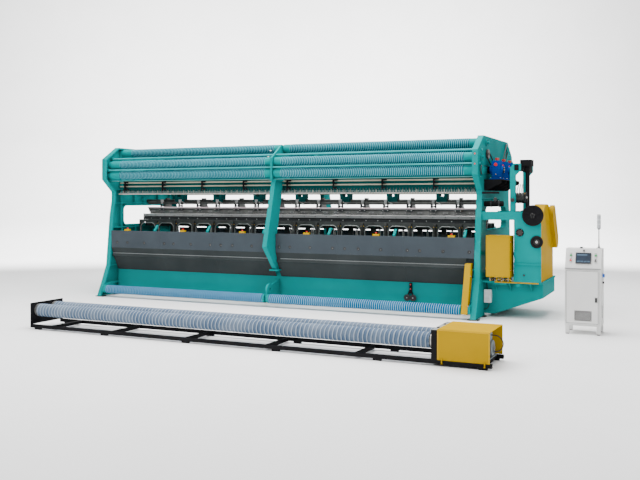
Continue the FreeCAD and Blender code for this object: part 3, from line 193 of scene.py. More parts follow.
# film wound round a roller: the surface's own map holds metres along it and turns round it, and
# one turn of film covers one pitch, so metres / pitch + turns is constant along each edge
def woundFilm(name, pitch, edge, body, gap, sheenStrength):
    n = Nodes(name)
    split = n.add("SeparateXYZ", {0: n.add("UVMap", uv_map="wrap").outputs["UV"]})
    wobble = n.math("MULTIPLY", n.noise(7.0, 3.0), 0.5)
    turns = n.math("ADD", n.math("DIVIDE", split.outputs["X"], pitch), split.outputs["Y"])
    phase = n.math("FRACT", n.math("ADD", turns, wobble))
    # painted light: the edge tone on each turn's ridge is a painted highlight, and the gap tone just past it is
    # painted shade in the crease between turns
    band = n.ramp(phase, [(0.0, gap), (0.16, body), (0.62, body), (0.72, edge), (0.86, edge), (1.0, gap)])
    # painted sheen: broad noise patches pull the film towards the pale highlight tone
    sheenPatch = n.ramp(n.noise(2.2, 4.0, 0.6), [(0.42, (0, 0, 0)), (0.6, (1, 1, 1))])
    tone = n.mix(n.math("MULTIPLY", sheenPatch, sheenStrength, True), band, edge)
    height = n.math("SINE", n.math("MULTIPLY", phase, math.pi))
    wrinkled = n.math("ADD", height, n.math("MULTIPLY", n.noise(60.0, 4.0, 0.6, (1, 3, 3)), 0.6))
    n.coat(0.03, 0.2)
    return n.finish(tone, n.spread(n.noise(40.0), 0.18, 0.42), wrinkled, 0.7, 0.006)


tealColour = (0.0, 0.215, 0.212)
teal = enamel("tealEnamel", tealColour, 0.36, 0.08, 0.45, 1.5)
# painted shade: a dark copy of the teal for parts that lie in shade
tealShaded = enamel("tealEnamelShaded", scaled(tealColour, 0.30), creviceShade=0.7)
guardPaint = enamel("guardEnamel", (0.046, 0.057, 0.067), 0.42, 0.1, 0.3, 1.7)
skirtPaint = enamel("skirtEnamel", (0.034, 0.040, 0.041), 0.36, 0.15, 0.2, 1.8)
# painted highlight: a lighter copy of the skirt paint for the strip along each skirt's fold
skirtHighlight = enamel("skirtHighlightEnamel", (0.15, 0.165, 0.165), 0.36, 0.15, 0.2, 1.8)
yellow = enamel("yellowEnamel", (0.41, 0.244, 0.0), 0.34, 0.06, 0.35, 1.15)
# painted highlight: a lighter copy of the yellow for the winder cover's folded lips
yellowLitEdge = enamel("yellowLitEdgeEnamel", (0.54, 0.33, 0.01), 0.34, 0.06, 0.2, 1.15)
orange = enamel("orangeEnamel", (0.36, 0.12, 0.0), 0.34, 0.06, 0.35, 1.15)
blackPaint = enamel("blackEnamel", (0.010, 0.010, 0.011), 0.40, 0.25, 0.2, 2.4)
cabinetPaint = enamel("cabinetEnamel", (0.66, 0.66, 0.65), 0.45, 0.03, 0.25, 1.1)
bluePaint = enamel("blueEnamel", (0.0, 0.055, 0.32), 0.3, 0.12, 0.45, 1.6)
motorPaint = enamel("greyEnamel", (0.20, 0.23, 0.25), 0.4, 0.12, 0.4)
greyCast = enamel("castGreyEnamel", (0.23, 0.235, 0.235), 0.42, 0.18, 0.5, 1.7)
# painted highlight: this dark casting's edges are painted far lighter
castGrey = enamel("darkCastEnamel", (0.034, 0.037, 0.039), 0.40, 0.25, 0.3, 3.5)
# pale casting: rubbed edges and bolts, and also a painted glint on each guard plug
castWearAndGlint = bareMetal("rubbedCastingAndGlint", (0.26, 0.28, 0.27), 0.42, (6, 6, 6), 0.3, 0.5)
steel = bareMetal("groundSteel", (0.46, 0.46, 0.44))
barGrey = bareMetal("greyBar", (0.17, 0.175, 0.17), 0.36, metallic=0.6)
brightSteel = bareMetal("polishedSteel", (0.62, 0.62, 0.60), 0.25, stain=0.2)
darkSteel = bareMetal("oiledSteel", (0.075, 0.078, 0.075), 0.4)
bedIron = bareMetal("oiledIron", (0.050, 0.058, 0.056), 0.42, (6, 6, 6), 0.45, 0.5)
rodTeal = enamel("paleTealEnamel", (0.03, 0.30, 0.31), 0.4, 0.2, 0.4)
beigeRod = enamel("beigeEnamel", (0.36, 0.33, 0.25), 0.4, 0.15, 0.4)
palePink = enamel("paleRailEnamel", (0.50, 0.40, 0.42), 0.4, 0.12, 0.3)
redPlastic = moulded("redPlastic", (0.62, 0.010, 0.012), 0.28, coat=0.3)
greenPlastic = moulded("greenPlastic", (0.01, 0.32, 0.07), 0.28, coat=0.3)
bluePlastic = moulded("bluePlastic", (0.01, 0.10, 0.45), 0.35)
blackPlastic = moulded("blackPlastic", (0.010, 0.010, 0.011), 0.42)
whitePlastic = moulded("whitePlastic", (0.66, 0.68, 0.70), 0.4)
rubber = moulded("blackRubber", (0.010, 0.010, 0.011), 0.6, 150.0, 0.3)
brassy = bareMetal("yellowPassivated", (0.60, 0.40, 0.08), 0.3)
smokedGlass = moulded("smokedGlass", (0.035, 0.030, 0.028), 0.12, coat=0.6)
screenGlass = moulded("screenGlass", (0.018, 0.030, 0.050), 0.14, coat=0.6)
screenRow = moulded("screenRow", (0.07, 0.12, 0.18), 0.2, coat=0.4)
lampLens = moulded("lampLens", (0.42, 0.44, 0.46), 0.22, 60.0, 0.3, 0.4)
platedGrey = bareMetal("greyPlate", (0.15, 0.148, 0.145), 0.45, (6, 6, 6), 0.15, 0.2)
seamGrey = moulded("greySeam", (0.16, 0.165, 0.17), 0.5)
# each kind of film: the pitch of its turns and its material
filmKinds = {kind: (pitch, woundFilm(name, pitch, *tones)) for kind, name, pitch, *tones in (
    # tones: the ridge's painted highlight, the body, the crease's painted shade, and how strong the painted sheen
    # is
    ("teal", "tealFilm", 0.036, (0.14, 0.42, 0.48), (0.0, 0.100, 0.135), (0.0, 0.045, 0.065), 0.06),
    ("blue", "blueFilm", 0.040, (0.20, 0.42, 0.58), (0.0, 0.085, 0.200), (0.0, 0.040, 0.11), 0.08),
    ("pale", "greyBlueFilm", 0.060, (0.27, 0.32, 0.38), (0.080, 0.122, 0.190), (0.03, 0.055, 0.10), 0.35))}
print("materials made:", len(bpy.data.materials))

# finishes of the frame's own nodes; guard buttons are red and whatever isn't listed is steel
finishes = [
    (teal, "left_end_frame right_end_frame base_beams centre_columns take_down_bearings drive_platform "
     "drive_case"),
    (darkSteel, "levelling_feet bed_fittings swing_carriage belt_idler guide_bar_2 guide_bar_4"),
    # painted shade: the crossbeams and the carriage hangers take the dark shaded copy of the teal
    (tealShaded, "crossbeams carriage_hangers"),
    (guardPaint, "guard_panels"),
    (skirtPaint, "guard_skirts"),
    (bedIron, "needle_bed"),
    (blackPaint, "yarn_hooks handwheel pattern_unit gearbox_bracket winder_frame"),
    (beigeRod, "yarn_rods"),
    (yellow, "chain_guard belt_guards side_cover stop_boxes winder_cover"),
    (bluePaint, "speed_gearboxes"),
    (whitePlastic, "terminal_box"),
    (rubber, "cables"),
    (motorPaint, "winder_drive"),
    (cabinetPaint, "cabinet_shell cabinet_door"),
    (blackPlastic, "door_latch mode_switch"),
    (greenPlastic, "start_button"),
    (redPlastic, "stop_button"),
    (barGrey, "guide_bar_1 guide_bar_3"),
]
nodeFinish = {name: material for material, names in finishes for name in names.split()}
for name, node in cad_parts.items():
    material = nodeFinish.get(name, redPlastic if name.startswith("guard_button") else steel)
    node.data.materials.clear()
    node.data.materials.append(material)
print("finishes set on the frame")


# surfaces: each builder returns its points and its faces as arrays; a triangle repeats a corner
# grid of rows by columns; the rows can close on themselves, and so can the columns
def gridQuads(rows, columns, closeRows=False, closeColumns=False):
    i, j = np.meshgrid(np.arange(rows - (not closeRows)), np.arange(columns - (not closeColumns)), indexing="ij")
    a = i * columns + j
    b = ((i + 1) % rows) * columns + j
    c = ((i + 1) % rows) * columns + (j + 1) % columns
    d = i * columns + (j + 1) % columns
    return np.stack([a, d, c, b], -1).reshape(-1, 4)


axisTurns = {"x": np.array([[0, 0, 1], [1, 0, 0], [0, 1, 0]]),
             "y": np.array([[0, 1, 0], [0, 0, 1], [1, 0, 0]]), "z": np.eye(3)}


# turned piece: a profile of (height along the axis, radius), rising, carried round the axis; a radius
# of nought closes an end, and a profile that ends where it began closes on itself. The piece is copied
# to each of centres
def turned(profile, centres, axis="z", sides=24):
    profile = np.array(profile, float)
    closed = len(profile) > 2 and (profile[0] == profile[-1]).all()
    profile = profile[:-1] if closed else profile
    angle = np.arange(sides) / sides * 2 * np.pi
    ring = np.stack([np.cos(angle), np.sin(angle)], -1)
    points = np.empty((len(profile), sides, 3))
    points[..., :2] = profile[:, 1, None, None] * ring
    points[..., 2] = profile[:, 0, None]
    frameTurn = axisTurns[axis] if isinstance(axis, str) else axis
    points = points.reshape(-1, 3) @ frameTurn.T
    faces = gridQuads(len(profile), sides, closed, True)
    # every corner on the axis is one corner
    onAxis = np.flatnonzero(profile[:, 1] == 0)
    for row in onAxis:
        faces[faces // sides == row] = row * sides
    return copied(points, faces, centres)


def copied(points, faces, centres):
    centres = np.atleast_2d(np.asarray(centres, float))
    every = (points[None] + centres[:, None]).reshape(-1, 3)
    step = np.arange(len(centres))[:, None, None] * len(points)
    return every, (faces[None] + step).reshape(-1, faces.shape[1])


# block with chamfered edges: each corner of the box is three points, drawn in by the chamfer
# along two of the axes; size is full width, depth and height
def block(size, centres, chamfer=0.002, turn=None):
    half = np.array(size, float) / 2
    signs = np.array([[x, y, z] for x in (-1, 1) for y in (-1, 1) for z in (-1, 1)], float)
    points = (signs[:, None] * (half - chamfer * (1 - np.eye(3))[None])).reshape(-1, 3)
    faces = []

    # the corner with these signs along an axis and the two after it, as the first of its three points
    def corner(axis, signsFrom):
        bits = [(signsFrom[(k - axis) % 3] > 0) << (2 - k) for k in range(3)]
        return 3 * sum(bits)

    for axis in range(3):
        u, v = (axis + 1) % 3, (axis + 2) % 3
        for side in (-1, 1):
            loop = [corner(axis, (side, su, sv)) + axis for su, sv in ((-1, -1), (1, -1), (1, 1), (-1, 1))]
            faces.append(loop[::side])
        for su in (-1, 1):
            for sv in (-1, 1):
                low, high = corner(axis, (-1, su, sv)), corner(axis, (1, su, sv))
                faces.append([low + u, high + u, high + v, low + v][::-su * sv])
    for k, s in enumerate(signs):
        loop = [3 * k, 3 * k + 1, 3 * k + 2][::int(s.prod())]
        faces.append(loop + loop[-1:])
    if turn is not None:
        points = points @ np.array(turn).T
    return copied(points, np.array(faces), centres)


def turnAbout(axis, degrees):
    c, s = math.cos(math.radians(degrees)), math.sin(math.radians(degrees))
    if axis == "x":
        return np.array([[1, 0, 0], [0, c, -s], [0, s, c]])
    if axis == "y":
        return np.array([[c, 0, s], [0, 1, 0], [-s, 0, c]])
    return np.array([[c, -s, 0], [s, c, 0], [0, 0, 1]])


# tube: a circle carried along a smooth path of points, kept square to it
def tube(path, radius, sides=10):
    path = np.array(path, float)
    ahead = np.gradient(path, axis=0)
    ahead /= np.linalg.norm(ahead, axis=1, keepdims=True)
    side = np.cross(ahead, [0.31, 0.12, 0.94])
    side /= np.linalg.norm(side, axis=1, keepdims=True)
    other = np.cross(ahead, side)
    angle = np.arange(sides) / sides * 2 * np.pi
    rings = path[:, None] + radius * (side[:, None] * np.cos(angle)[None, :, None]
                                      + other[:, None] * np.sin(angle)[None, :, None])
    points = np.concatenate([path[:1], rings.reshape(-1, 3), path[-1:]])
    faces = gridQuads(len(path), sides, False, True) + 1
    k = np.arange(sides)
    first = np.stack([np.zeros(sides, int), (k + 1) % sides + 1, k + 1, k + 1], -1)
    last = len(points) - 1
    base = last - sides
    final = np.stack([np.full(sides, last), base + k, base + (k + 1) % sides, base + (k + 1) % sides], -1)
    return points, np.concatenate([faces, first, final])


# slab: an outline of (y, z), star-shaped about its middle and anticlockwise, given thickness
# along x, with its edges drawn in
def slab(outline, low, high, chamfer=0.001):
    outline = np.array(outline, float)
    middle = outline.mean(0)
    reach = np.linalg.norm(outline - middle, axis=1, keepdims=True)
    inner = middle + (outline - middle) * (1 - chamfer / reach)
    rings = [(inner, low), (outline, low + chamfer), (outline, high - chamfer), (inner, high)]
    count = len(outline)
    flat = [np.column_stack([ring, np.full(count, level)]) for ring, level in rings]
    flat += [[[*middle, low]], [[*middle, high]]]
    flat = np.concatenate(flat)
    k, after = np.arange(count), (np.arange(count) + 1) % count
    bottom = np.stack([np.full(count, 4 * count), after, k, k], -1)
    top = np.stack([np.full(count, 4 * count + 1), 3 * count + k, 3 * count + after, 3 * count + after], -1)
    faces = np.concatenate([gridQuads(4, count, False, True), bottom, top])
    return flat[:, (2, 0, 1)], faces


# one piece from several surfaces, each with its own material
def makePiece(name, parts, body="root", replaced=(), wrap=None):
    points, faces, slots, start = [], [], [], 0
    materials = []
    for (partPoints, partFaces), material in parts:
        if material not in materials:
            materials.append(material)
        points.append(partPoints)
        faces.append(partFaces + start)
        slots.append(np.full(len(partFaces), materials.index(material)))
        start += len(partPoints)
    points, slots = np.concatenate(points), np.concatenate(slots)
    used, faces = np.unique(np.concatenate(faces), return_inverse=True)
    points, faces = points[used], faces.reshape(-1, 4)
    polygons = [tuple(dict.fromkeys(face)) for face in faces.tolist()]
    mesh = bpy.data.meshes.new(name)
    mesh.from_pydata(points.tolist(), [], polygons)
    for material in materials:
        mesh.materials.append(material)
    mesh.polygons.foreach_set("material_index", slots.astype(np.int32))
    if wrap is not None:
        layer = mesh.uv_layers.new(name="wrap")
        layer.data.foreach_set("uv", wrap.reshape(-1).astype(np.float32))
    mesh.validate()
    mesh.shade_smooth()
    piece = bpy.data.objects.new(name, mesh)
    bpy.context.scene.collection.objects.link(piece)
    mesh.set_sharp_from_angle(angle=math.radians(35))
    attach(piece, body)
    if replaced:
        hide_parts(*replaced)


# where things lie on the frame
leftFace, leftInner = leftLow[0], leftHigh[0]
rightInner, rightFace = rightLow[0], rightHigh[0]
middleX = nodeCentre("centre_columns")[0]
kneeY = nodeCentre("needle_bed")[1]
guardY, guardFold = guardLow[1], guardLow[2]
guardTop = nodeBox("stop_boxes")[0][2]
chainLow, chainHigh = nodeBox("chain_guard")


def halfHeight(name):
    low, high = nodeBox(name)
    return (high[2] - low[2]) / 2


# places along x where a node has corners between two heights, one for each group
def groupsAlongX(name, low, high, apart, front=None):
    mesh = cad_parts[name].data
    points = np.empty(len(mesh.vertices) * 3, np.float32)
    mesh.vertices.foreach_get("co", points)
    points = points.reshape(-1, 3)
    keep = (points[:, 2] > low) & (points[:, 2] < high)
    if front is not None:
        keep &= points[:, 1] < front
    x = np.sort(points[keep, 0])
    cuts = np.where(np.diff(x) > apart)[0] + 1
    return np.array([(part[0] + part[-1]) / 2 for part in np.split(x, cuts)])


# faces of a frame node chosen by their centres take another finish
def repaint(name, material, choose):
    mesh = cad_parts[name].data
    centres = np.empty(len(mesh.polygons) * 3, np.float32)
    mesh.polygons.foreach_get("center", centres)
    picked = choose(*centres.reshape(-1, 3).T)
    index = np.empty(len(mesh.polygons), np.int32)
    mesh.polygons.foreach_get("material_index", index)
    mesh.materials.append(material)
    index[picked] = len(mesh.materials) - 1
    mesh.polygons.foreach_set("material_index", index)


def along(xs, y, z):
    xs = np.asarray(xs, float)
    return np.column_stack([xs, np.full(len(xs), y), np.full(len(xs), z)])


# places round a circle about a centre, in the plane across an axis
def circle(centre, radius, axis="x", first=0.0, count=6):
    angle = first + np.arange(count) * 2 * math.pi / count
    across = [radius * np.cos(angle), radius * np.sin(angle)]
    across.insert("xy".index(axis), np.zeros(count))
    return np.array(centre) + np.stack(across, -1)


def pinProfile(low, high, radius, bevel=0.002):
    return [(low, 0), (low, radius - bevel), (low + bevel, radius), (high - bevel, radius),
            (high, radius - bevel), (high, 0)]


def pins(centres, axis, low, high, radius, sides=16, bevel=0.002):
    return turned(pinProfile(low, high, radius, bevel), centres, axis, sides)


# a turned ring, whose profile closes on itself
def ring(profile, centres, axis="x", sides=28):
    return turned(profile + profile[:1], centres, axis, sides)


# plain six-sided pieces for rows of hundreds
def slivers(size, centres):
    half = np.array(size, float) / 2
    points = np.array([[x, y, z] for x in (-1, 1) for y in (-1, 1) for z in (-1, 1)]) * half
    faces = np.array([[0, 1, 3, 2], [4, 6, 7, 5], [0, 4, 5, 1], [2, 3, 7, 6], [0, 2, 6, 4], [1, 5, 7, 3]])
    return copied(points, faces, centres)


# blocks about one origin or a row of them: size, offsets, chamfer and material
def boxes(origin, rows):
    return [(block(size, np.atleast_2d(offsets) + origin, chamfer), material)
            for size, offsets, chamfer, material in rows]


# pins about one origin or a row of them: offsets, start, end, radius, sides, bevel and material
def studs(origin, axis, rows):
    return [(pins(np.atleast_2d(offsets) + origin, axis, *shape), material) for offsets, *shape, material in rows]


# film wound on the rollers, whose barrels stay bare at their ends
# the film's radius = the barrel's + two slow waves + a ridge at each turn's edge
film = {"grow": 0.0022, "wave": 0.0007, "ridge": 0.0012, "ridgeFrom": 0.82, "rowStep": 0.018, "sides": 28,
        "taper": 0.03, "tuck": 0.001}


def filmSleeve(name, node, start, end, kind):
    y, z = nodeCentre(node)[1:]
    barrel = halfHeight(node)
    pitch, material = filmKinds[kind]
    sides = film["sides"]
    rows = int((end - start) / film["rowStep"])
    xx, aa = np.meshgrid(np.linspace(start, end, rows), np.arange(sides + 1) / sides, indexing="ij")
    turnsAt = xx / pitch + aa
    wave = np.sin(xx * 5.1 + start) * 0.5 + np.sin(xx * 13.7 + aa * 6.28) * 0.5
    r = barrel + film["grow"] + film["wave"] * wave + film["ridge"] * (turnsAt % 1.0 > film["ridgeFrom"])
    taper = np.minimum(1, np.minimum(xx - start, end - xx) / film["taper"])
    r = barrel + (r - barrel) * taper - film["tuck"] * (taper <= 0)
    points = np.stack([xx, y + r * np.cos(aa * 2 * np.pi), z + r * np.sin(aa * 2 * np.pi)], -1)
    wrap = np.stack([xx, aa], -1).reshape(-1, 2)[gridQuads(rows, sides + 1, True)]
    surface = points[:, :-1].reshape(-1, 3), gridQuads(rows, sides, True, True)
    makePiece(name, [(surface, material)], node, wrap=wrap)


letOff = ["front_upper_roller", "front_middle_roller", "front_lower_roller",
          "rear_upper_roller", "rear_middle_roller", "rear_lower_roller"]
for node in letOff:
    filmSleeve(f"{node}_film_left", node, leftInner + 0.25, middleX - 0.16, "teal")
    filmSleeve(f"{node}_film_right", node, middleX + 0.17, rightInner - 0.17, "teal")
filmSleeve("take_down_film_left", "take_down_roller", leftInner + 0.11, middleX - 0.06, "blue")
filmSleeve("take_down_film_right", "take_down_roller", middleX + 0.06, chainLow[0] - 0.02, "blue")
winderFilmEnd = nodeBox("winder_cover")[0][0] - 0.115
for node in ("winder_front_roller", "winder_rear_roller"):
    filmSleeve(f"{node}_film", node, nodeBox(node)[0][0] + 0.06, winderFilmEnd, "pale")
print("film on the rollers")

# bare ends of the rollers are enamelled like the frame
for node in letOff + ["take_down_roller"]:
    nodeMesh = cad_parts[node].data
    nodeMesh.materials.clear()
    nodeMesh.materials.append(teal)

# covers with six bolts over the bearings on the right end frame, where no belt runs
hub = {"radius": 0.058, "bore": 0.030, "lip": 0.036, "depth": 0.020, "edge": 0.003, "recess": 0.006,
       "boltRing": 0.044, "boltTurn": 0.3, "bolt": 0.006, "boltStands": 0.005}
hubProfile = [(0, hub["bore"]), (0, hub["radius"]), (hub["depth"] - hub["edge"], hub["radius"]),
              (hub["depth"], hub["radius"] - hub["edge"]), (hub["depth"], hub["lip"]),
              (hub["depth"] - hub["recess"], hub["bore"])]
covered = [(rightFace, *nodeCentre(node)[1:]) for node in letOff
           if node not in ("front_lower_roller", "rear_upper_roller")]
hubBolts = np.concatenate([circle(place, hub["boltRing"], first=hub["boltTurn"]) for place in covered])
makePiece("bearing_covers", [
    (ring(hubProfile, covered), teal),
    (pins(hubBolts, "x", hub["depth"], hub["depth"] + hub["boltStands"], hub["bolt"], 6, 0.001), darkSteel),
], "root")

# rubber-rimmed wheels on the left ends of the front rollers
endWheel = [(-0.046, 0.020), (-0.046, 0.092), (-0.040, 0.098), (-0.020, 0.098), (-0.014, 0.092), (-0.014, 0.020)]
for node in ("front_middle_roller", "front_lower_roller"):
    wheelPlace = [(leftFace, *nodeCentre(node)[1:])]
    makePiece(f"{node}_end_wheel", [(ring(endWheel, wheelPlace), rubber)], node)

# red plugs on the right end frame's head
plug = {"profile": [(-0.006, 0), (-0.006, 0.010), (-0.002, 0.014), (0.002, 0.014), (0.002, 0)],
        "fromInner": 0.050, "fromGuards": -0.18, "heights": (2.819, 2.646)}
plugPlaces = [(rightInner + plug["fromInner"], guardY + plug["fromGuards"], z) for z in plug["heights"]]
makePiece("frame_plugs", [(turned(plug["profile"], plugPlaces, "y", 16), redPlastic)], "root")
print("end frame fittings")

lowestRoller = min(nodeCentre(node)[2] for node in letOff)
repaint("yarn_rods", rodTeal, lambda x, y, z: z > lowestRoller - 0.12)

# let-off belts outside the right end frame: each loop is the tangent path round two wheels
belt = {"width": 0.022, "thick": 0.005, "fromFrame": 0.015, "rollerWheel": 0.0765, "idlerRim": 0.006,
        "outputWheel": 0.058, "arcSteps": 22}
gear = {"pitch": 0.540, "output": 0.170, "cap": 0.331, "face": 0.245}
gearFace = nodeBox("speed_gearboxes")[1][0]
gearY = nodeCentre("speed_gearboxes")[1] + gear["pitch"] * np.arange(-1, 2)
bracketTop = nodeBox("gearbox_bracket")[1][2]
outputZ = bracketTop + gear["output"]
beltX = rightFace + belt["fromFrame"]


def beltLoop(a, ra, b, rb):
    a, b = np.array(a), np.array(b)
    ahead = b - a
    heading = math.atan2(ahead[1], ahead[0])
    lean = math.acos((ra - rb) / np.linalg.norm(ahead))
    arcs = [(a, ra, heading + np.linspace(lean, 2 * math.pi - lean, belt["arcSteps"])),
            (b, rb, heading + np.linspace(-lean, lean, belt["arcSteps"]))]
    inner, outer = [np.concatenate([centre + (r + grow) * np.stack([np.cos(t), np.sin(t)], -1)
                                    for centre, r, t in arcs]) for grow in (0.0, belt["thick"])]
    low, high = beltX, beltX + belt["width"]
    rows = [(outer, low), (outer, high), (inner, high), (inner, low)]
    points = np.concatenate([np.column_stack([np.full(len(path), x), path]) for path, x in rows])
    return points, gridQuads(4, len(outer), True, True)


belted = [("front_lower_roller", belt["rollerWheel"]), ("belt_idler", halfHeight("belt_idler") - belt["idlerRim"]),
          ("rear_upper_roller", belt["rollerWheel"])]
makePiece("let_off_belts", [(beltLoop(nodeCentre(node)[1:], radius, (y, outputZ), belt["outputWheel"]), rubber)
                            for (node, radius), y in zip(belted, gearY)], "root")
outputWheel = [(0.000, 0.022), (0.000, 0.064), (0.003, 0.064), (0.004, 0.056), (0.028, 0.056), (0.029, 0.064),
               (0.032, 0.064), (0.032, 0.054), (0.024, 0.050), (0.024, 0.032), (0.032, 0.030), (0.032, 0.022)]
spokes = np.concatenate([circle((beltX + 0.024, y, outputZ), 0.041) for y in gearY])
makePiece("gearbox_wheels", [
    (ring(outputWheel, [(beltX - 0.004, y, outputZ) for y in gearY], "x", 32), blackPaint),
    (pins(spokes, "x", 0, 0.004, 0.006, 10), steel),
], "root")

# gearboxes: red caps, bolted hubs, sight glasses and vertical fins on their outer faces
repaint("speed_gearboxes", redPlastic, lambda x, y, z: z > bracketTop + gear["cap"])
gearRow = np.array([(rightFace + gear["face"], y, bracketTop) for y in gearY])
hubPlaces = [(gearFace - 0.001, y, outputZ) for y in gearY]
hubRing = [(0, 0.030), (0, 0.060), (0.008, 0.060), (0.012, 0.056), (0.012, 0.034), (0.008, 0.030)]
ringBolts = np.concatenate([circle((gearFace + 0.010, y, outputZ), 0.046) for y in gearY])
fins = np.array([place + (0.008, dy, 0.085) for place in gearRow for dy in np.linspace(-0.09, 0.09, 9)])
ears = [place + (0.085 * s - 0.075, 0.125 * t, 0.024) for place in gearRow for s in (-1, 1) for t in (-1, 1)]
makePiece("gearbox_details", [
    (block((0.016, 0.007, 0.120), fins, 0.002), bluePaint),
    *boxes(gearRow, [((0.010, 0.190, 0.012), (0.006, 0, 0.285), 0.003, bluePaint)]),
    (ring(hubRing, hubPlaces), blackPaint),
    (pins(hubPlaces, "x", 0.0, 0.010, 0.024, 20), steel),
    (pins(ringBolts, "x", 0, 0.006, 0.006, 6, 0.001), steel),
    (pins(ears, "z", 0, 0.012, 0.012, 6), steel),
    *studs(gearRow, "x", [((-0.001, 0.06, 0.235), 0.0, 0.012, 0.017, 20, brassy)]),
    *studs(gearRow, "y", [((-0.075, -0.098, 0.262), -0.028, 0.0, 0.030, 24, redPlastic),
                          ((-0.075, -0.098, 0.090), -0.020, 0.0, 0.012, 6, brassy)]),
], "root")
print("let-off drive")

# guards: screws and hole plugs, and a folded strip along each skirt
guard = {"screwPitch": 0.42, "screwDown": 0.022, "lowerScrewUp": 0.018, "holeUp": 0.110, "holeBand": (0.09, 0.13)}
screwX = np.concatenate([np.arange(a, b, guard["screwPitch"]) for a, b in
                         ((leftInner + 0.12, middleX - 0.1), (middleX + 0.14, rightInner - 0.1))])
holeX = groupsAlongX("guard_panels", *(guardFold + band for band in guard["holeBand"]), 0.08, guardY + 0.003)
holes = along(holeX, guardY, guardFold + guard["holeUp"])
plugRing = [(-0.003, 0.0195), (-0.003, 0.027), (-0.001, 0.030), (0.0, 0.030), (0.001, 0.0255), (0.010, 0.0245),
            (0.010, 0.0195)]
screw = (-0.003, 0.001, 0.0065, 6, 0.001, darkSteel)
makePiece("guard_trim", [
    (ring(plugRing, holes, "y", 24), rubber),
    *studs(holes, "y", [((0, 0, 0), -0.002, 0.012, 0.0200, 20, blackPlastic),
                        # painted glint: a pale dot at the lower right of each black plug
                        ((0.006, 0, -0.005), -0.005, 0.004, 0.0060, 12, castWearAndGlint)]),
    *studs(along(screwX, guardY, guardTop), "y", [((0, 0, -guard["screwDown"]), *screw)]),
    *studs(along(screwX, guardY, guardFold), "y", [((guard["screwPitch"] / 2, 0, guard["lowerScrewUp"]), *screw)]),
], "root")


# a folded cover strip lies along the middle of each skirt, square to its slope; its pale grey is a painted
# highlight along the fold
def skirtStrip(start, end):
    top, foot = np.array([guardY, guardFold]), np.array([guardY + 0.222, 0.560])
    slope = (foot - top) / np.linalg.norm(foot - top)
    out = np.array([slope[1], -slope[0]])
    section = np.array([top + slope * (0.150 + down) + out * off for down, off in (
        (-0.022, 0), (-0.012, 0.007), (0.012, 0.007), (0.022, 0), (0.022, -0.001), (-0.022, -0.001))])
    count = len(section)
    points = np.concatenate([np.column_stack([np.full(count, x), section]) for x in (start, start, end, end)])
    points[:count, 1:] = points[-count:, 1:] = section.mean(0)
    faces = gridQuads(4, count, False, True)
    faces[faces < count], faces[faces >= 3 * count] = 0, 3 * count
    return (points, faces), skirtHighlight


skirtEnds = (leftInner + 0.01, middleX - 0.13), (middleX + 0.13, chainLow[0] - 0.02)
makePiece("skirt_strips", [skirtStrip(*ends) for ends in skirtEnds], "root")
repaint("guard_panels", teal, lambda x, y, z: z > guardTop + 0.0005)
repaint("guard_panels", teal, lambda x, y, z: (y > guardY + 0.075) & (y < kneeY) & (z < guardTop))
print("guards trimmed")

# rocking carriage: clamps along its shaft and the guide bars, a pale rail and a grey bar
frontBar = nodeBox("guide_bar_1")
barTop = frontBar[1][2]
frontY = nodeBox("swing_carriage")[0][1]
armX = groupsAlongX("swing_carriage", barTop + 0.031, barTop + 0.036, 0.12)
armX = armX[(armX > leftInner + 0.3) & (armX < rightInner - 0.3)]
clampX = np.sort(np.concatenate([armX, (armX[1:] + armX[:-1]) / 2]))


# a bar from one place along x to another; size is its depth and height
def bar(ends, size, y, z, chamfer=0.004):
    return block((ends[1] - ends[0], *size), [((ends[0] + ends[1]) / 2, y, z)], chamfer)


barEnds = frontBar[0][0] + 0.03, frontBar[1][0] - 0.03
clamps = along(clampX, frontY, barTop)
carriageParts = [
    (bar(barEnds, (0.026, 0.052), frontY - 0.030, barTop + 0.150), darkSteel),
    (bar(barEnds, (0.010, 0.026), frontY - 0.050, barTop + 0.052), palePink),
    (bar(barEnds, (0.030, 0.016), frontY - 0.038, barTop + 0.036), greyCast),
    *boxes(clamps, [
        ((0.050, 0.060, 0.070), (0, -0.036, 0.165), 0.008, greyCast),
        ((0.075, 0.024, 0.030), (0, -0.044, 0.212), 0.006, greyCast),
        ((0.040, 0.034, 0.140), (-0.036, -0.026, 0.085), 0.006, castGrey),
        ((0.030, 0.034, 0.140), (0.040, -0.026, 0.085), 0.006, castGrey),
        ((0.120, 0.026, 0.030), (0, -0.028, 0.090), 0.006, castGrey),
        ((0.150, 0.014, 0.052), (0, -0.050, 0.010), 0.004, castGrey)]),
    *studs(clamps, "y", [(place, -0.008, 0.002, radius, 6, 0.001, steel) for place, radius in (
        ((-0.050, -0.058, 0.010), 0.009), ((0.050, -0.058, 0.010), 0.009),
        ((-0.012, -0.066, 0.178), 0.007), ((0.014, -0.066, 0.150), 0.007))]),
    *boxes(along(armX, frontY, barTop), [((0.090, 0.050, 0.012), (0, 0.010, 0.040), 0.003, greyCast)]),
]
# each sprung tie is a coil that leans between the shaft's clamp and the bar below
coil = {"turns": 7, "steps": 8, "radius": 0.012, "wire": 0.0032, "from": (0.055, -0.036, 0.175), "run": 0.105,
        "drop": 0.05}
t = np.linspace(0, 1, coil["turns"] * coil["steps"])
wound = t * coil["turns"] * 2 * np.pi
coilPath = np.stack([coil["run"] * t, coil["radius"] * np.cos(wound),
                     coil["radius"] * np.sin(wound) - coil["drop"] * t], -1) + coil["from"]
carriageParts += [(tube(coilPath + clamp, coil["wire"], 5), steel) for clamp in clamps[1::2]]
makePiece("carriage_fittings", carriageParts, "swing_carriage")

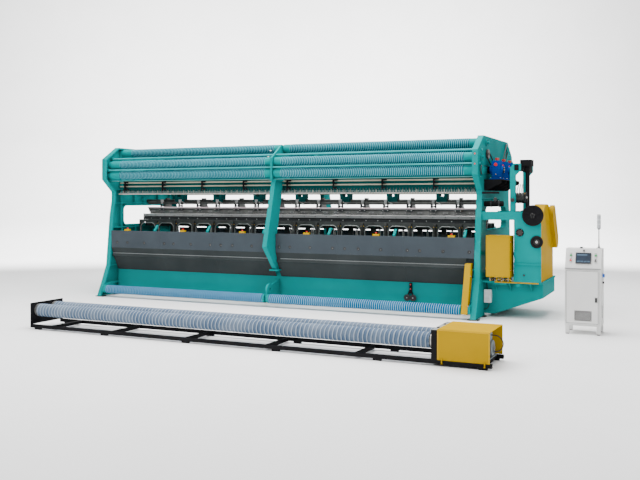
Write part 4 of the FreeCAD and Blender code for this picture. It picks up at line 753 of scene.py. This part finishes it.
# guide needles on each bar, and bolted clamp plates on the first
needle = {"size": (0.0026, 0.019, 0.044), "pitch": 0.018, "up": 0.018}
for node in [f"guide_bar_{k}" for k in (1, 2, 3, 4)]:
    low, high = nodeBox(node)
    needleX = np.arange(low[0] + 0.05, high[0] - 0.05, needle["pitch"])
    needles = along(needleX, (low[1] + high[1]) / 2, low[2] + needle["up"])
    parts = [(slivers(needle["size"], needles), brightSteel)]
    if node == "guide_bar_1":
        plates = along(np.arange(low[0] + 0.12, high[0] - 0.1, 0.25), low[1], high[2])
        parts += boxes(plates, [((0.110, 0.008, 0.050), (0, -0.003, -0.036), 0.003, greyCast)])
        parts += studs(plates, "y", [((s * 0.035, -0.006, -0.036), -0.006, 0.001, 0.008, 6, 0.001, steel)
                                     for s in (-1, 1)])
    makePiece(f"{node}_needles", parts, node)
print("carriage fitted")

# needle bed: knock-over combs, bars along its front and bolts
bedLow, bedHigh = nodeBox("needle_bed")
bedFront, bedTop = bedLow[1], bedHigh[2]
trickTop = nodeBox("bed_fittings")[1][2]
bedEnds = leftInner + 0.10, rightInner - 0.10
combs = along(np.arange(*bedEnds, 0.016), kneeY, trickTop + 0.010)
bedBolts = along(np.arange(leftInner + 0.20, rightInner - 0.2, 0.245), bedFront + 0.019, bedTop)
makePiece("bed_trim", [
    *[(slivers((0.003, 0.016, 0.022), combs + (0, side * 0.064, 0)), brightSteel) for side in (-1, 1)],
    (bar(bedEnds, (0.022, 0.060), bedFront + 0.030, bedTop + 0.100), greyCast),
    (bar(bedEnds, (0.030, 0.016), bedFront + 0.026, bedTop + 0.062), blackPaint),
    (bar(bedEnds, (0.022, 0.050), bedFront + 0.030, bedTop + 0.028), castGrey),
    *studs(bedBolts, "y", [((0, 0, 0.100), -0.008, 0.001, 0.009, 6, 0.001, darkSteel),
                           ((0.12, 0, 0.028), -0.008, 0.001, 0.012, 6, 0.001, castWearAndGlint)]),
], "root")

# cast lips round the front of each arch: a pale rubbed edge that follows its outline
arch = {"count": 16, "web": 0.045, "foot": 0.12, "top": 0.075, "lip": 0.009, "out": 0.004, "steps": 3,
        "corner": [(0, 0.085), (0.03, 0.035), (0.085, 0)]}
lipParts = []
archX = np.linspace(leftInner, rightInner, arch["count"] + 1)
footZ, crownZ = guardTop - arch["foot"], bedTop - arch["top"]
for a, b in zip(archX[:-1], archX[1:]):
    left, right = a + arch["web"], b - arch["web"]
    path = [(left, footZ), *[(left + dx, crownZ - dz) for dx, dz in arch["corner"]],
            *[(right - dx, crownZ - dz) for dx, dz in arch["corner"][::-1]], (right, footZ)]
    # each straight of the path is cut into equal steps
    marks = np.linspace(0, len(path) - 1, (len(path) - 1) * arch["steps"] + 1)
    x, z = (np.interp(marks, np.arange(len(path)), column) for column in zip(*path))
    lipParts.append((tube(np.stack([x, np.full(len(x), bedFront - arch["out"]), z], -1), arch["lip"], 6), castWearAndGlint))
    nipples = [(left - 0.022, bedFront, crownZ - 0.01), (right + 0.022, bedFront, crownZ - 0.01)]
    lipParts.append((pins(nipples, "y", -0.012, 0.001, 0.010, 8), brassy))
makePiece("bed_lips", lipParts, "root")
print("bed trimmed")

# prongs of the yarn hooks: each hook holds its rods between three short arms
hookLow, hookHigh = nodeBox("yarn_hooks")
prong = {"length": 0.085, "section": (0.020, 0.018), "below": (0.022, 0.085, 0.150), "tip": (0.018, 0.020, 0.050),
         "tipBelow": 0.004, "back": 0.012}
hooks = along(groupsAlongX("yarn_hooks", hookLow[2], hookHigh[2], 0.15), hookLow[1] + prong["back"], hookHigh[2])
arms = [hook + (prong["length"] / 2, 0, -drop) for hook in hooks for drop in prong["below"]]
makePiece("hook_prongs", [
    (block((prong["length"], *prong["section"]), arms, 0.004), blackPaint),
    *boxes(hooks, [(prong["tip"], (prong["length"], 0, -prong["tipBelow"]), 0.004, blackPaint)]),
], "root")

# yarn rails: rows of pale spring blades and eyes along the combs
combZ = nodeBox("yarn_rods")[0][2] + 0.026
railOut = kneeY - hookLow[1] + 0.010
eyeX = np.arange(leftInner + 0.04, rightInner - 0.03, 0.030)
for name, side in (("front", -1), ("rear", 1)):
    eyes = along(eyeX, kneeY + side * railOut, combZ)
    makePiece(f"{name}_yarn_eyes", [
        (slivers((0.009, 0.008, 0.024), eyes + (0, 0, -0.012)), whitePlastic),
        (slivers((0.004, 0.006, 0.046), eyes + (0.015, 0, 0.020)), brightSteel),
        (slivers((0.005, 0.006, 0.014), eyes + (0.008, 0, -0.004)), blackPlastic),
        (slivers((0.016, 0.012, 0.034), eyes[::2] + (0.010, 0, 0.066)), blackPlastic),
    ], "root")
print("yarn rails fitted")

# drive end: where its case, platform and front plate lie
caseLow, caseHigh = nodeBox("drive_case")
platformLow, platformHigh = nodeBox("drive_platform")
platformTop = platformHigh[2]
plateY = nodeBox("belt_guards")[0][1] - 0.022

# handwheel: a rim, a dished web, five spokes with a screw each, and a hub
wheelLow = nodeBox("handwheel")[0]
wheelR = halfHeight("handwheel")
spoke = {"size": (0.090, 0.010, 0.022), "at": 0.098, "screwAt": 0.032, "first": 0.3, "count": 5}
wheelX, _, wheelZ = nodeCentre("handwheel")
wheelPlace = (wheelX, wheelLow[1] + 0.014, wheelZ)
rim = [(0.000, wheelR - 0.030), (0.000, wheelR - 0.008), (0.006, wheelR), (0.030, wheelR),
       (0.037, wheelR - 0.008), (0.037, wheelR - 0.030)]
web = [(0.010, 0.0), (0.010, wheelR - 0.028), (0.024, wheelR - 0.028), (0.024, 0.0)]
boss = [(-0.012, 0.0), (-0.012, 0.042), (-0.006, 0.050), (0.012, 0.052), (0.012, 0.0)]
wheelParts = [(ring(rim, [wheelPlace], "y", 56), blackPaint), (turned(web, [wheelPlace], "y", 48), blackPaint),
              (turned(boss, [wheelPlace], "y", 32), blackPaint)]
middles, screws = (circle(wheelPlace, spoke[reach], "y", spoke["first"], spoke["count"])
                   for reach in ("at", "screwAt"))
for k, (middle, screwAt) in enumerate(zip(middles, screws)):
    lean = turnAbout("y", -math.degrees(spoke["first"]) - k * 360 / spoke["count"])
    wheelParts.append((block(spoke["size"], [middle + (0, 0.006, 0)], 0.003, lean), blackPaint))
    wheelParts.append((pins([screwAt + (0, -0.012, 0)], "y", -0.003, 0.003, 0.005, 6, 0.001), steel))
makePiece("handwheel_rim", wheelParts, "handwheel", ["handwheel"])

# front plate: a ring, a round window, a plug, two rows of screws and a yellow strip
ringPlace = (caseHigh[0] - 0.072, plateY, platformTop + 0.685)
windowPlace = (caseLow[0] + 0.650, plateY, platformTop + 0.840)
plugPlace = (caseLow[0] + 0.720, plateY, platformTop + 0.120)
ringProfile = [(0.0, 0.052), (-0.020, 0.056), (-0.030, 0.064), (-0.030, 0.094), (-0.022, 0.103), (0.0, 0.105)]
windowProfile = [(0.0, 0.046), (-0.010, 0.047), (-0.014, 0.052), (-0.014, 0.062), (-0.008, 0.067), (0.0, 0.068)]
windowScrews = circle(windowPlace, 0.056, "y") + (0, -0.013, 0)
edgeX = np.arange(caseLow[0] + 0.60, caseHigh[0] - 0.02, 0.13)
stripX = (caseLow[0] + 0.22 + caseHigh[0]) / 2 - 0.02
driveParts = [
    (ring(ringProfile, [ringPlace], "y", 40), blackPaint),
    (pins([ringPlace], "y", -0.010, 0.001, 0.054, 32), blackPlastic),
    (pins([ringPlace], "y", -0.034, -0.008, 0.022, 24, 0.006), brightSteel),
    (ring(windowProfile, [windowPlace], "y", 40), blackPaint),
    (pins([windowPlace], "y", -0.004, 0.001, 0.048, 28), smokedGlass),
    (pins(windowScrews, "y", -0.003, 0.002, 0.004, 6, 0.001), steel),
    (pins([plugPlace], "y", -0.010, 0.001, 0.020, 6, 0.003), blackPlastic),
    *[(pins(along(edgeX, plateY, z), "y", -0.007, 0.001, 0.008, 6, 0.001), teal)
      for z in (platformTop + 0.03, caseLow[2] + 1.15)],
    (block((0.74, 0.012, 0.024), [(stripX, platformLow[1], platformTop - 0.012)], 0.003), yellow),
]

# side cover: orange tabs and folded lips round its front face
coverLow, coverHigh = nodeBox("side_cover")
coverBase = platformTop + 0.080
tabs = np.array([(coverHigh[0] + 0.004, coverLow[1] + 0.05, coverBase + 0.60),
                 (coverHigh[0] + 0.004, coverLow[1] + 0.05, coverBase + 0.12),
                 (coverLow[0] - 0.004, coverLow[1] + 0.05, coverBase + 0.14)])
coverMiddle = np.array([(coverLow[0] + coverHigh[0]) / 2, coverLow[1] - 0.002, (coverHigh[2] + coverBase) / 2])
reachX, reachZ = (coverHigh[0] - coverLow[0]) / 2 - 0.012, (coverHigh[2] - coverBase) / 2 - 0.012
driveParts += [
    (block((0.024, 0.030, 0.034), tabs, 0.005), orange),
    (pins(tabs + (0, -0.017, 0), "y", -0.006, 0.001, 0.008, 6, 0.001), steel),
    (block((0.010, 0.006, 2 * reachZ - 0.016), coverMiddle + [(-reachX, 0, 0), (reachX, 0, 0)], 0.002), yellow),
    (block((2 * reachX - 0.006, 0.006, 0.010), coverMiddle + [(0, 0, -reachZ), (0, 0, reachZ)], 0.002), yellow),
]

# pipework, terminals and hoses between the cover and the platform
pipe = {"count": 9, "back": 0.10, "stagger": 0.02, "gap": 0.002, "nutUp": 0.026, "nut": (0, 0.020, 0.019, 6)}
hose = {"count": 4, "pitch": 0.085, "span": 0.045, "rise": 0.030, "up": 0.020, "forward": 0.030, "radius": 0.008}
pipeY = coverLow[1] + pipe["back"]
for k, x in enumerate(np.linspace(coverLow[0] + 0.05, coverHigh[0] - 0.06, pipe["count"])):
    foot = np.array([x, pipeY + pipe["stagger"] * (k % 3), platformTop + pipe["gap"]])
    length = coverBase - platformTop - 2 * pipe["gap"]
    thickness = 0.011 + 0.003 * (k % 2)
    driveParts.append((pins([foot], "z", 0, length, thickness, 12), (brassy, darkSteel, steel)[k % 3]))
    driveParts.append((pins([foot + (0, 0, pipe["nutUp"])], "z", *pipe["nut"]), (steel, brassy)[k % 2]))
t = np.linspace(0, math.pi, 14)
hosePath = np.stack([hose["span"] * (1 - np.cos(t)), np.full(len(t), -hose["forward"]),
                     hose["up"] + hose["rise"] * np.sin(t)], -1)
for k, material in enumerate((rubber, yellow, rubber, brassy)):
    start = (coverLow[0] + 0.07 + hose["pitch"] * k, pipeY, platformTop)
    driveParts.append((tube(hosePath + start, hose["radius"], 8), material))
makePiece("drive_fittings", driveParts, "root")

# ribs and a drain boss under the platform, stiffening strips along its plate
underZ = platformTop - 0.030
ribBack = nodeBox("terminal_box")[1][1]
ribOutline = [(platformLow[1] + 0.025, underZ - 0.0005), (ribBack, underZ - 0.150), (ribBack, underZ - 0.0005)]
ribX = (platformLow[0] + 0.215, platformLow[0] + 0.46, platformHigh[0] - 0.20)
makePiece("platform_ribs", [
    (pins([(caseLow[0] + 0.62, platformLow[1] + 0.022, underZ - 0.045)], "z", 0, 0.045, 0.046, 24), teal),
    (block((0.24, 0.030, 0.030), [(platformLow[0] + 0.30, platformLow[1] + 0.035, underZ - 0.015)], 0.003), teal),
    *[(slab(ribOutline, x, x + 0.012), teal) for x in ribX],
], "root")

# upper drive: dark bars and knobs outside the right end frame
postX = caseLow[0] + 0.480
knob = [(-0.034, 0), (-0.034, 0.026), (-0.026, 0.034), (-0.010, 0.034), (-0.004, 0.022), (0.001, 0.022), (0.001, 0)]
upperDrive = np.array([rightFace, plateY, 0])
makePiece("knobs", [
    (turned(knob, [upperDrive + (0.235, 0.012, 2.040)], "y", 24), blackPlastic),
    (turned(knob, [(postX + 0.048, plateY + 0.010, 2.030)], "y", 24), blackPlastic),
    *boxes(upperDrive, [((0.30, 0.020, 0.034), (0.152, 0.012, 2.155), 0.004, blackPaint),
                        # painted shade: this lower bar takes the dark shaded copy of the teal
                        ((0.30, 0.020, 0.020), (0.152, 0.012, 2.040), 0.004, tealShaded)]),
], "root")

# cam box beside the pattern unit: a cast housing, a stack of cams and its push rods
camBox = np.array([postX + 0.150, plateY + 0.160, caseLow[2] + 1.430])
cam = [(0.0, 0.0), (0.0, 0.074), (0.003, 0.078), (0.013, 0.078), (0.016, 0.074), (0.016, 0.0)]
cams = [camBox + (0.026 * k - 0.085, 0.01, 0.005 + 0.006 * (k % 2)) for k in range(6)]
pushRods = [camBox + [(0.045 * k - 0.055, -0.02, 0.03), (0.040 * k - 0.050, -0.03, 0.13),
                      (0.030 * k - 0.020, -0.03, 0.23)] for k in range(3)]
makePiece("cam_box", [
    *boxes(camBox, [
        ((0.240, 0.120, 0.070), (-0.010, 0.04, -0.060), 0.010, blackPaint),
        ((0.026, 0.110, 0.170), [(-0.110, 0.03, 0.010), (0.080, 0.03, 0.010)], 0.006, castGrey)]),
    (turned(cam, cams, "x"), darkSteel),
    *studs(camBox, "x", [((-0.130, 0.01, 0), 0.0, 0.245, 0.016, 14, steel)]),
    *[(tube(path, 0.008, 8), steel) for path in pushRods],
    *studs(camBox, "y", [([(-0.110, -0.020, 0.070), (0.080, -0.020, 0.070)], -0.014, 0.004, 0.009, 6, brassy)]),
], "root")

# the roller shaft's housing seen between the frame and the post
makePiece("shaft_housing", studs(upperDrive + (0, 0.210, 1.965), "x", [
    ((0, 0, 0), 0.0, 0.330, 0.046, 24, 0.006, blackPaint),
    ([(0.110, 0, 0), (0.250, 0, 0)], 0.0, 0.020, 0.060, 24, 0.004, castGrey),
]), "root")

# chain guard: orange hinge tabs on its edge
chainEdge = np.array([chainHigh[0] + 0.006, chainLow[1], 0])
chainTabs = chainEdge + [(0, 0.22, 0.73), (0, 0.02, 0.245)]
makePiece("chain_guard_tabs", [
    (block((0.026, 0.024, 0.030), chainTabs, 0.005), orange),
    (pins(chainTabs + (0, -0.012, 0), "y", -0.005, 0.001, 0.007, 6, 0.001), steel),
], "root")
print("drive end fitted")

# beam fittings: a pair of small guide wheels on a black bracket
guideWheel = [(-0.022, 0.010), (-0.022, 0.052), (-0.014, 0.060), (-0.010, 0.048), (-0.004, 0.048), (0.0, 0.060),
              (0.008, 0.052), (0.008, 0.010)]
guide = np.array([leftFace + 6.725, nodeBox("base_beams")[0][1], 0])
guideWheels = guide + [(-0.062, -0.034, 0.262), (0.052, -0.034, 0.262)]
makePiece("guide_wheels", [
    *boxes(guide, [((0.050, 0.030, 0.150), (0, -0.015, 0.455), 0.005, blackPaint),
                   ((0.070, 0.018, 0.040), (-0.005, -0.022, 0.360), 0.005, blackPaint)]),
    *[(block((0.022, 0.022, 0.150), [guide + (dx, -0.030, 0.330)], 0.004, turnAbout("y", lean)), blackPaint)
      for dx, lean in ((-0.040, 22), (0.036, -22))],
    (ring(guideWheel, guideWheels, "y"), rubber),
    (pins(guideWheels, "y", -0.030, 0.034, 0.012, 12), steel),
    *studs(guide, "y", [([(0, -0.030, 0.500), (0, -0.030, 0.420)], -0.008, 0.002, 0.012, 6, redPlastic)]),
], "root")
collar = [(-0.030, 0.018), (-0.030, 0.052), (-0.022, 0.060), (0.026, 0.060), (0.034, 0.052), (0.034, 0.018)]
collarPlace = (leftInner + 0.078, *nodeCentre("take_down_roller")[1:])
makePiece("take_down_collar", [(ring(collar, [collarPlace]), yellow)], "take_down_roller")
headFront = leftLow[1]
makePiece("column_bolts", [
    (pins([(middleX - 0.046, headFront + dy, z) for dy, z in ((0.30, 2.98), (0.20, 2.86))], "x",
          -0.006, 0.028, 0.012, 6), steel),
    (pins([(middleX - 0.045, guardY + 0.030, 1.76)], "x", -0.006, 0.002, 0.011, 6), darkSteel),
    (pins([(middleX + 0.001, guardY - 0.008, 1.64)], "y", -0.006, 0.012, 0.011, 6), darkSteel),
], "root")
print("beam and column fittings")

# winder: roller flanges, bearing stand top and bolts, folded lips of its cover, whose lighter yellow is a painted
# highlight
winderCover = nodeBox("winder_cover")
winderLow, winderHigh = nodeBox("winder_frame")
winderY = (winderLow[1] + winderHigh[1]) / 2
standX = winderCover[0][0] - 0.040
standTop = winderHigh[2]
flange = [(-0.010, 0.022), (-0.010, 0.090), (-0.006, 0.098), (0.004, 0.098), (0.008, 0.090), (0.008, 0.050),
          (0.030, 0.044), (0.030, 0.022)]
for node in ("winder_front_roller", "winder_rear_roller"):
    flangePlace = np.array([standX - 0.078, *nodeCentre(node)[1:]])
    makePiece(f"{node}_flange", [
        (ring(flange, [flangePlace], "x", 36), blackPaint),
        (pins(circle(flangePlace + (0.015, 0, 0), 0.068), "x", -0.008, 0.004, 0.006, 6, 0.001), brightSteel),
    ], node)
faceLow, faceHigh = winderCover[0] + (0, 0.012, 0.044), winderCover[1]
faceMiddle = (faceLow + faceHigh) / 2
lipY = faceLow[1] + 0.010
faceWide, _, faceTall = faceHigh - faceLow
standBolts = nodeCentre("winder_front_roller")[1] + 0.02, nodeCentre("winder_rear_roller")[1] - 0.04
makePiece("winder_trim", [
    (block((0.070, winderHigh[1] - winderLow[1] - 0.02, 0.006), [(standX, winderY, standTop - 0.001)]), castWearAndGlint),
    (pins([(standX, y, standTop) for y in standBolts], "z", 0, 0.011, 0.018, 6), blackPaint),
    # painted highlight: the cover's lips take the lighter yellow
    *[(block((0.014, 0.004, faceTall - 0.02), [(x, lipY, faceMiddle[2])], 0.0015), yellowLitEdge)
      for x in (faceLow[0] + 0.008, faceHigh[0] - 0.008)],
    (block((faceWide - 0.02, 0.004, 0.012), [(faceMiddle[0], lipY, faceHigh[2] - 0.010)], 0.0015), yellowLitEdge),
], "root")

# winder motor: cooling fins round its barrel, and a grille and a screw on its end
motor = {"height": 0.215, "radius": 0.088, "fin": (0.150, 0.004, 0.020), "finsBack": 0.175, "finOut": 0.004,
         "finStep": 14, "holeRings": (0.03, 0.05, 0.07), "holeStep": 0.5}
motorEnd = np.array([nodeBox("winder_drive")[1][0], winderY, motor["height"]])
finReach = motor["radius"] + motor["finOut"]
motorParts = []
for angle in np.arange(8, 360, motor["finStep"]):
    turn = math.radians(angle)
    place = motorEnd + (-motor["finsBack"], finReach * math.cos(turn), finReach * math.sin(turn))
    motorParts.append((block(motor["fin"], [place], 0.001, turnAbout("x", angle - 90)), motorPaint))
grille = [motorEnd + (-0.002, r * math.cos(turn), r * math.sin(turn))
          for r in motor["holeRings"] for turn in np.arange(0, 6.28, motor["holeStep"])]
motorParts.append((pins(grille, "x", 0, 0.003, 0.005, 6, 0.001), blackPlastic))
motorParts.append((pins([motorEnd + (-0.001, 0, 0)], "x", 0, 0.006, 0.020, 20), darkSteel))
makePiece("motor_fins", motorParts, "root")
print("winder fitted")

# control cabinet: its console slopes between two edges, given as places across and up
shellLow, shellHigh = nodeBox("cabinet_shell")
doorLow, doorHigh = nodeBox("cabinet_door")
shellFront, shellTop, doorFace = shellLow[1], shellHigh[2], doorLow[1]
consoleLow = np.array([shellFront + 0.006, 1.000])
slope = np.array([shellFront + 0.141, shellTop]) - consoleLow
slope /= np.linalg.norm(slope)
slopeOut = np.array([-slope[1], slope[0]])
tilt = turnAbout("x", math.degrees(math.atan2(slope[1], slope[0])))


# places on the console: distance from the cabinet's left side, up the slope and out from it
def onConsole(places):
    return [(shellLow[0] + x, *(consoleLow + slope * up + slopeOut * out)) for x, up, out in places]


# console pieces are built flat, x across and y up the slope, then tilted; z points outward
def consoleBlock(size, places, chamfer=0.002):
    return block(size, onConsole(places), chamfer, tilt)


def consolePins(places, low, high, radius, bevel=0.0015):
    return turned(pinProfile(low, high, radius, bevel), onConsole(places), tilt @ axisTurns["z"])


screenX, screenUp = 0.2625, 0.1625
bezel = [((0.225, 0.012, 0.012), 0, 0.0815), ((0.225, 0.012, 0.012), 0, -0.0815),
         ((0.012, 0.175, 0.012), -0.1065, 0), ((0.012, 0.175, 0.012), 0.1065, 0)]
switches = [(0.440, 0.205), (0.080, 0.120), (0.080, 0.205), (0.440, 0.120)]
keySwitch = (0.265, 0.285)
consoleParts = [(consoleBlock(size, [(screenX + x, screenUp + up, 0.006)]), blackPlastic) for size, x, up in bezel]
consoleParts += [
    (consoleBlock((0.206, 0.156, 0.010), [(screenX, screenUp, 0.005)], 0.001), screenGlass),
    (consoleBlock((0.150, 0.020, 0.003), [(screenX - 0.02, screenUp + 0.050, 0.0105)], 0.0005), screenRow),
    (consoleBlock((0.040, 0.016, 0.003), [(screenX - 0.07 + 0.05 * k, screenUp - 0.055, 0.0105) for k in range(4)],
                  0.0005), screenRow),
    (consolePins([(*place, 0) for place in switches], -0.001, 0.005, 0.021), brightSteel),
    (consolePins([(*switches[2], 0)], 0.004, 0.015, 0.0155, 0.004), greenPlastic),
    (consolePins([(*keySwitch, 0)], 0.0, 0.012, 0.014), blackPlastic),
    (consoleBlock((0.004, 0.016, 0.006), [(*keySwitch, 0.014)], 0.001), brightSteel),
    (consoleBlock((0.030, 0.010, 0.002), [(x, up + 0.034, 0.001) for x, up in switches], 0.0005), greyCast),
]

# sockets on the side, and the lamp's base and the signal tower on the top
socket = np.array([shellHigh[0], shellFront + 0.256, 0])
lampBase = (shellLow[0] + 0.220, shellFront + 0.201, shellTop + 0.012)
tower = {"foot": (shellHigh[0] - 0.060, shellFront + 0.336, shellTop), "lampsUp": 0.306, "pitch": 0.066,
         "pole": [(0.0, 0.0), (0.0, 0.042), (0.006, 0.042), (0.007, 0.024), (0.030, 0.014), (0.076, 0.009),
                  (0.285, 0.008), (0.286, 0.014), (0.306, 0.028), (0.306, 0.0)],
         "lens": [(0.0, 0.0), (0.0, 0.026), (0.003, 0.0285), (0.060, 0.0285), (0.063, 0.026), (0.064, 0.0)],
         "cap": [(0.0, 0.0), (0.0, 0.0285), (0.010, 0.0285), (0.015, 0.020), (0.016, 0.0)]}
lampPlaces = [np.array(tower["foot"]) + (0, 0, tower["lampsUp"] + tower["pitch"] * k) for k in range(4)]
consoleParts += [
    *studs(socket, "x", [((0, 0, 0.880), -0.001, 0.010, 0.036, 28, bluePlastic),
                         ((0, 0, 0.880), 0.008, 0.033, 0.028, 28, 0.004, bluePlastic),
                         ((0, 0, 0.775), -0.001, 0.025, 0.016, 20, blackPlastic)]),
    (block((0.040, 0.040, 0.026), [lampBase], 0.004), blackPlastic),
    (turned(tower["pole"], [tower["foot"]], "z", 28), greyCast),
    *[(turned(tower["lens"], [place], "z", 28), lampLens) for place in lampPlaces[:3]],
    (turned(tower["cap"], lampPlaces[3:], "z", 28), greyCast),
]
makePiece("console_fittings", consoleParts, "root", ["cabinet_fittings"])

# door: folded edges, a blank plate with four screws and ruled lines, strips beside the latch
doorMiddle = (doorLow + doorHigh) / 2
edgeIn = 0.011
edgeWide, _, edgeTall = doorHigh - doorLow
plate = {"place": np.array([shellLow[0] + 0.265, doorFace, 0.285]), "size": (0.250, 0.003, 0.155),
         "screws": (0.116, 0.068), "line": (0.200, 0.0015, 0.006), "lines": 6, "linePitch": 0.018,
         "firstLine": -0.05}
latchX, _, latchZ = nodeCentre("door_latch")
foldY = doorFace + 0.0005
doorParts = [(block((edgeWide - 0.016, 0.003, 0.006), [(doorMiddle[0], foldY, z)], 0.001), seamGrey)
             for z in (doorLow[2] + edgeIn, doorHigh[2] - edgeIn)]
doorParts += [(block((0.006, 0.003, edgeTall - 2 * edgeIn), [(x, foldY, doorMiddle[2])], 0.001), seamGrey)
              for x in (doorLow[0] + edgeIn, doorHigh[0] - edgeIn)]
ruled = [plate["place"] + (0, -0.0022, plate["firstLine"] + plate["linePitch"] * k) for k in range(plate["lines"])]
screws = [plate["place"] + (a * plate["screws"][0], 0, b * plate["screws"][1]) for a in (-1, 1) for b in (-1, 1)]
makePiece("door_trim", doorParts + [
    (block(plate["size"], [plate["place"] + (0, -0.0005, 0)], 0.001), platedGrey),
    (slivers(plate["line"], ruled), greyCast),
    (pins(screws, "y", -0.004, 0.001, 0.005, 12, 0.001), brightSteel),
    (block((0.006, 0.004, 0.084), [(latchX + s * 0.014, doorFace, latchZ) for s in (-1, 1)], 0.001), blackPlastic),
], "cabinet_door")

# louvres on the cabinet's sides, rubber feet and the seam under the console
louvre = {"size": (0.010, 0.180, 0.010), "slot": (0.002, 0.150, 0.004), "first": 0.26, "pitch": 0.024, "count": 8}
louvres = np.array([(0, shellFront + 0.20, louvre["first"] + louvre["pitch"] * k) for k in range(louvre["count"])])
rightLouvres, leftLouvres = louvres + (shellHigh[0] - 0.001, 0, 0), louvres + (shellLow[0] + 0.001, 0, 0)
feet = [(x, y, 0.0) for x in (shellLow[0] + 0.034, shellHigh[0] - 0.034)
        for y in (shellFront + 0.040, shellHigh[1] - 0.034)]
seam = ((shellLow[0] + shellHigh[0]) / 2, shellFront + 0.001, 0.995)
makePiece("cabinet_trim", [
    (block(louvre["size"], rightLouvres, 0.003), cabinetPaint),
    (block(louvre["size"], leftLouvres, 0.003), cabinetPaint),
    (block(louvre["slot"], rightLouvres + (0.0055, 0, -0.008), 0.0005), blackPlastic),
    (pins(feet, "z", 0.0, 0.008, 0.026, 20), rubber),
    (block((shellHigh[0] - shellLow[0] + 0.004, 0.006, 0.010), [seam], 0.002), seamGrey),
], "root")
print("cabinet fitted")

# stage: a pale floor that curves up far behind, soft studio light
stage = {
    "sweep": [(-30.0, 0.0), (14.0, 0.0), (20.0, 1.2), (24.0, 5.0), (26.0, 14.0), (26.5, 24.0)],
    "halfWidth": 90.0, "tones": [(0.3, (0.86, 0.86, 0.86)), (0.7, (0.89, 0.89, 0.89))], "worldLight": 0.55,
    # each lamp: place, size, power and what it faces
    "lamps": {
        "top": ((0.0, 0.5, 9.5), 11.0, 3600.0, (0.0, 0.0, 1.2)),
        "key": ((-3.0, -10.0, 7.0), 5.0, 650.0, (0.0, 0.0, 1.2)),
        "side": ((10.5, -6.0, 5.0), 4.0, 260.0, (0.0, 0.0, 1.2)),
        "backLeft": ((-12.0, 8.0, 9.0), 12.0, 7500.0, (-20.0, 17.0, 4.0)),
        "backRight": ((0.0, 14.0, 9.0), 12.0, 7500.0, (-1.0, 27.0, 4.0)),
    },
}


def addStage():
    floorMaterial = Nodes("paleFloor")
    tone = floorMaterial.ramp(floorMaterial.noise(0.6, 3.0), stage["tones"])
    floorPaint = floorMaterial.finish(tone, 0.7, floorMaterial.noise(40.0), 0.03, 0.001)
    wide = np.linspace(-stage["halfWidth"], stage["halfWidth"], 3)
    points = np.array([(x, y, z) for y, z in stage["sweep"] for x in wide])
    turn = turnAbout("z", math.degrees(view["turn"]))
    mesh = bpy.data.meshes.new("floor")
    mesh.from_pydata((points @ turn.T).tolist(), [], gridQuads(len(stage["sweep"]), 3)[:, ::-1].tolist())
    mesh.materials.append(floorPaint)
    mesh.shade_smooth()
    floor = bpy.data.objects.new("floor", mesh)
    bpy.context.scene.collection.objects.link(floor)
    for name, (place, size, power, faced) in stage["lamps"].items():
        data = bpy.data.lights.new(name, "AREA")
        data.shape = "SQUARE"
        data.size = size
        data.energy = power
        lamp = bpy.data.objects.new(name, data)
        lamp.location = place
        aim = np.array(faced) - np.array(place)
        lamp.rotation_euler = (math.atan2(math.hypot(aim[0], aim[1]), -aim[2]), 0.0, math.atan2(-aim[0], aim[1]))
        bpy.context.scene.collection.objects.link(lamp)
    world = bpy.data.worlds.new("studio")
    world.use_nodes = True
    world.node_tree.nodes["Background"].inputs[0].default_value = (1.0, 1.0, 1.0, 1.0)
    world.node_tree.nodes["Background"].inputs[1].default_value = stage["worldLight"]
    bpy.context.scene.world = world


addStage()
print("stage set")
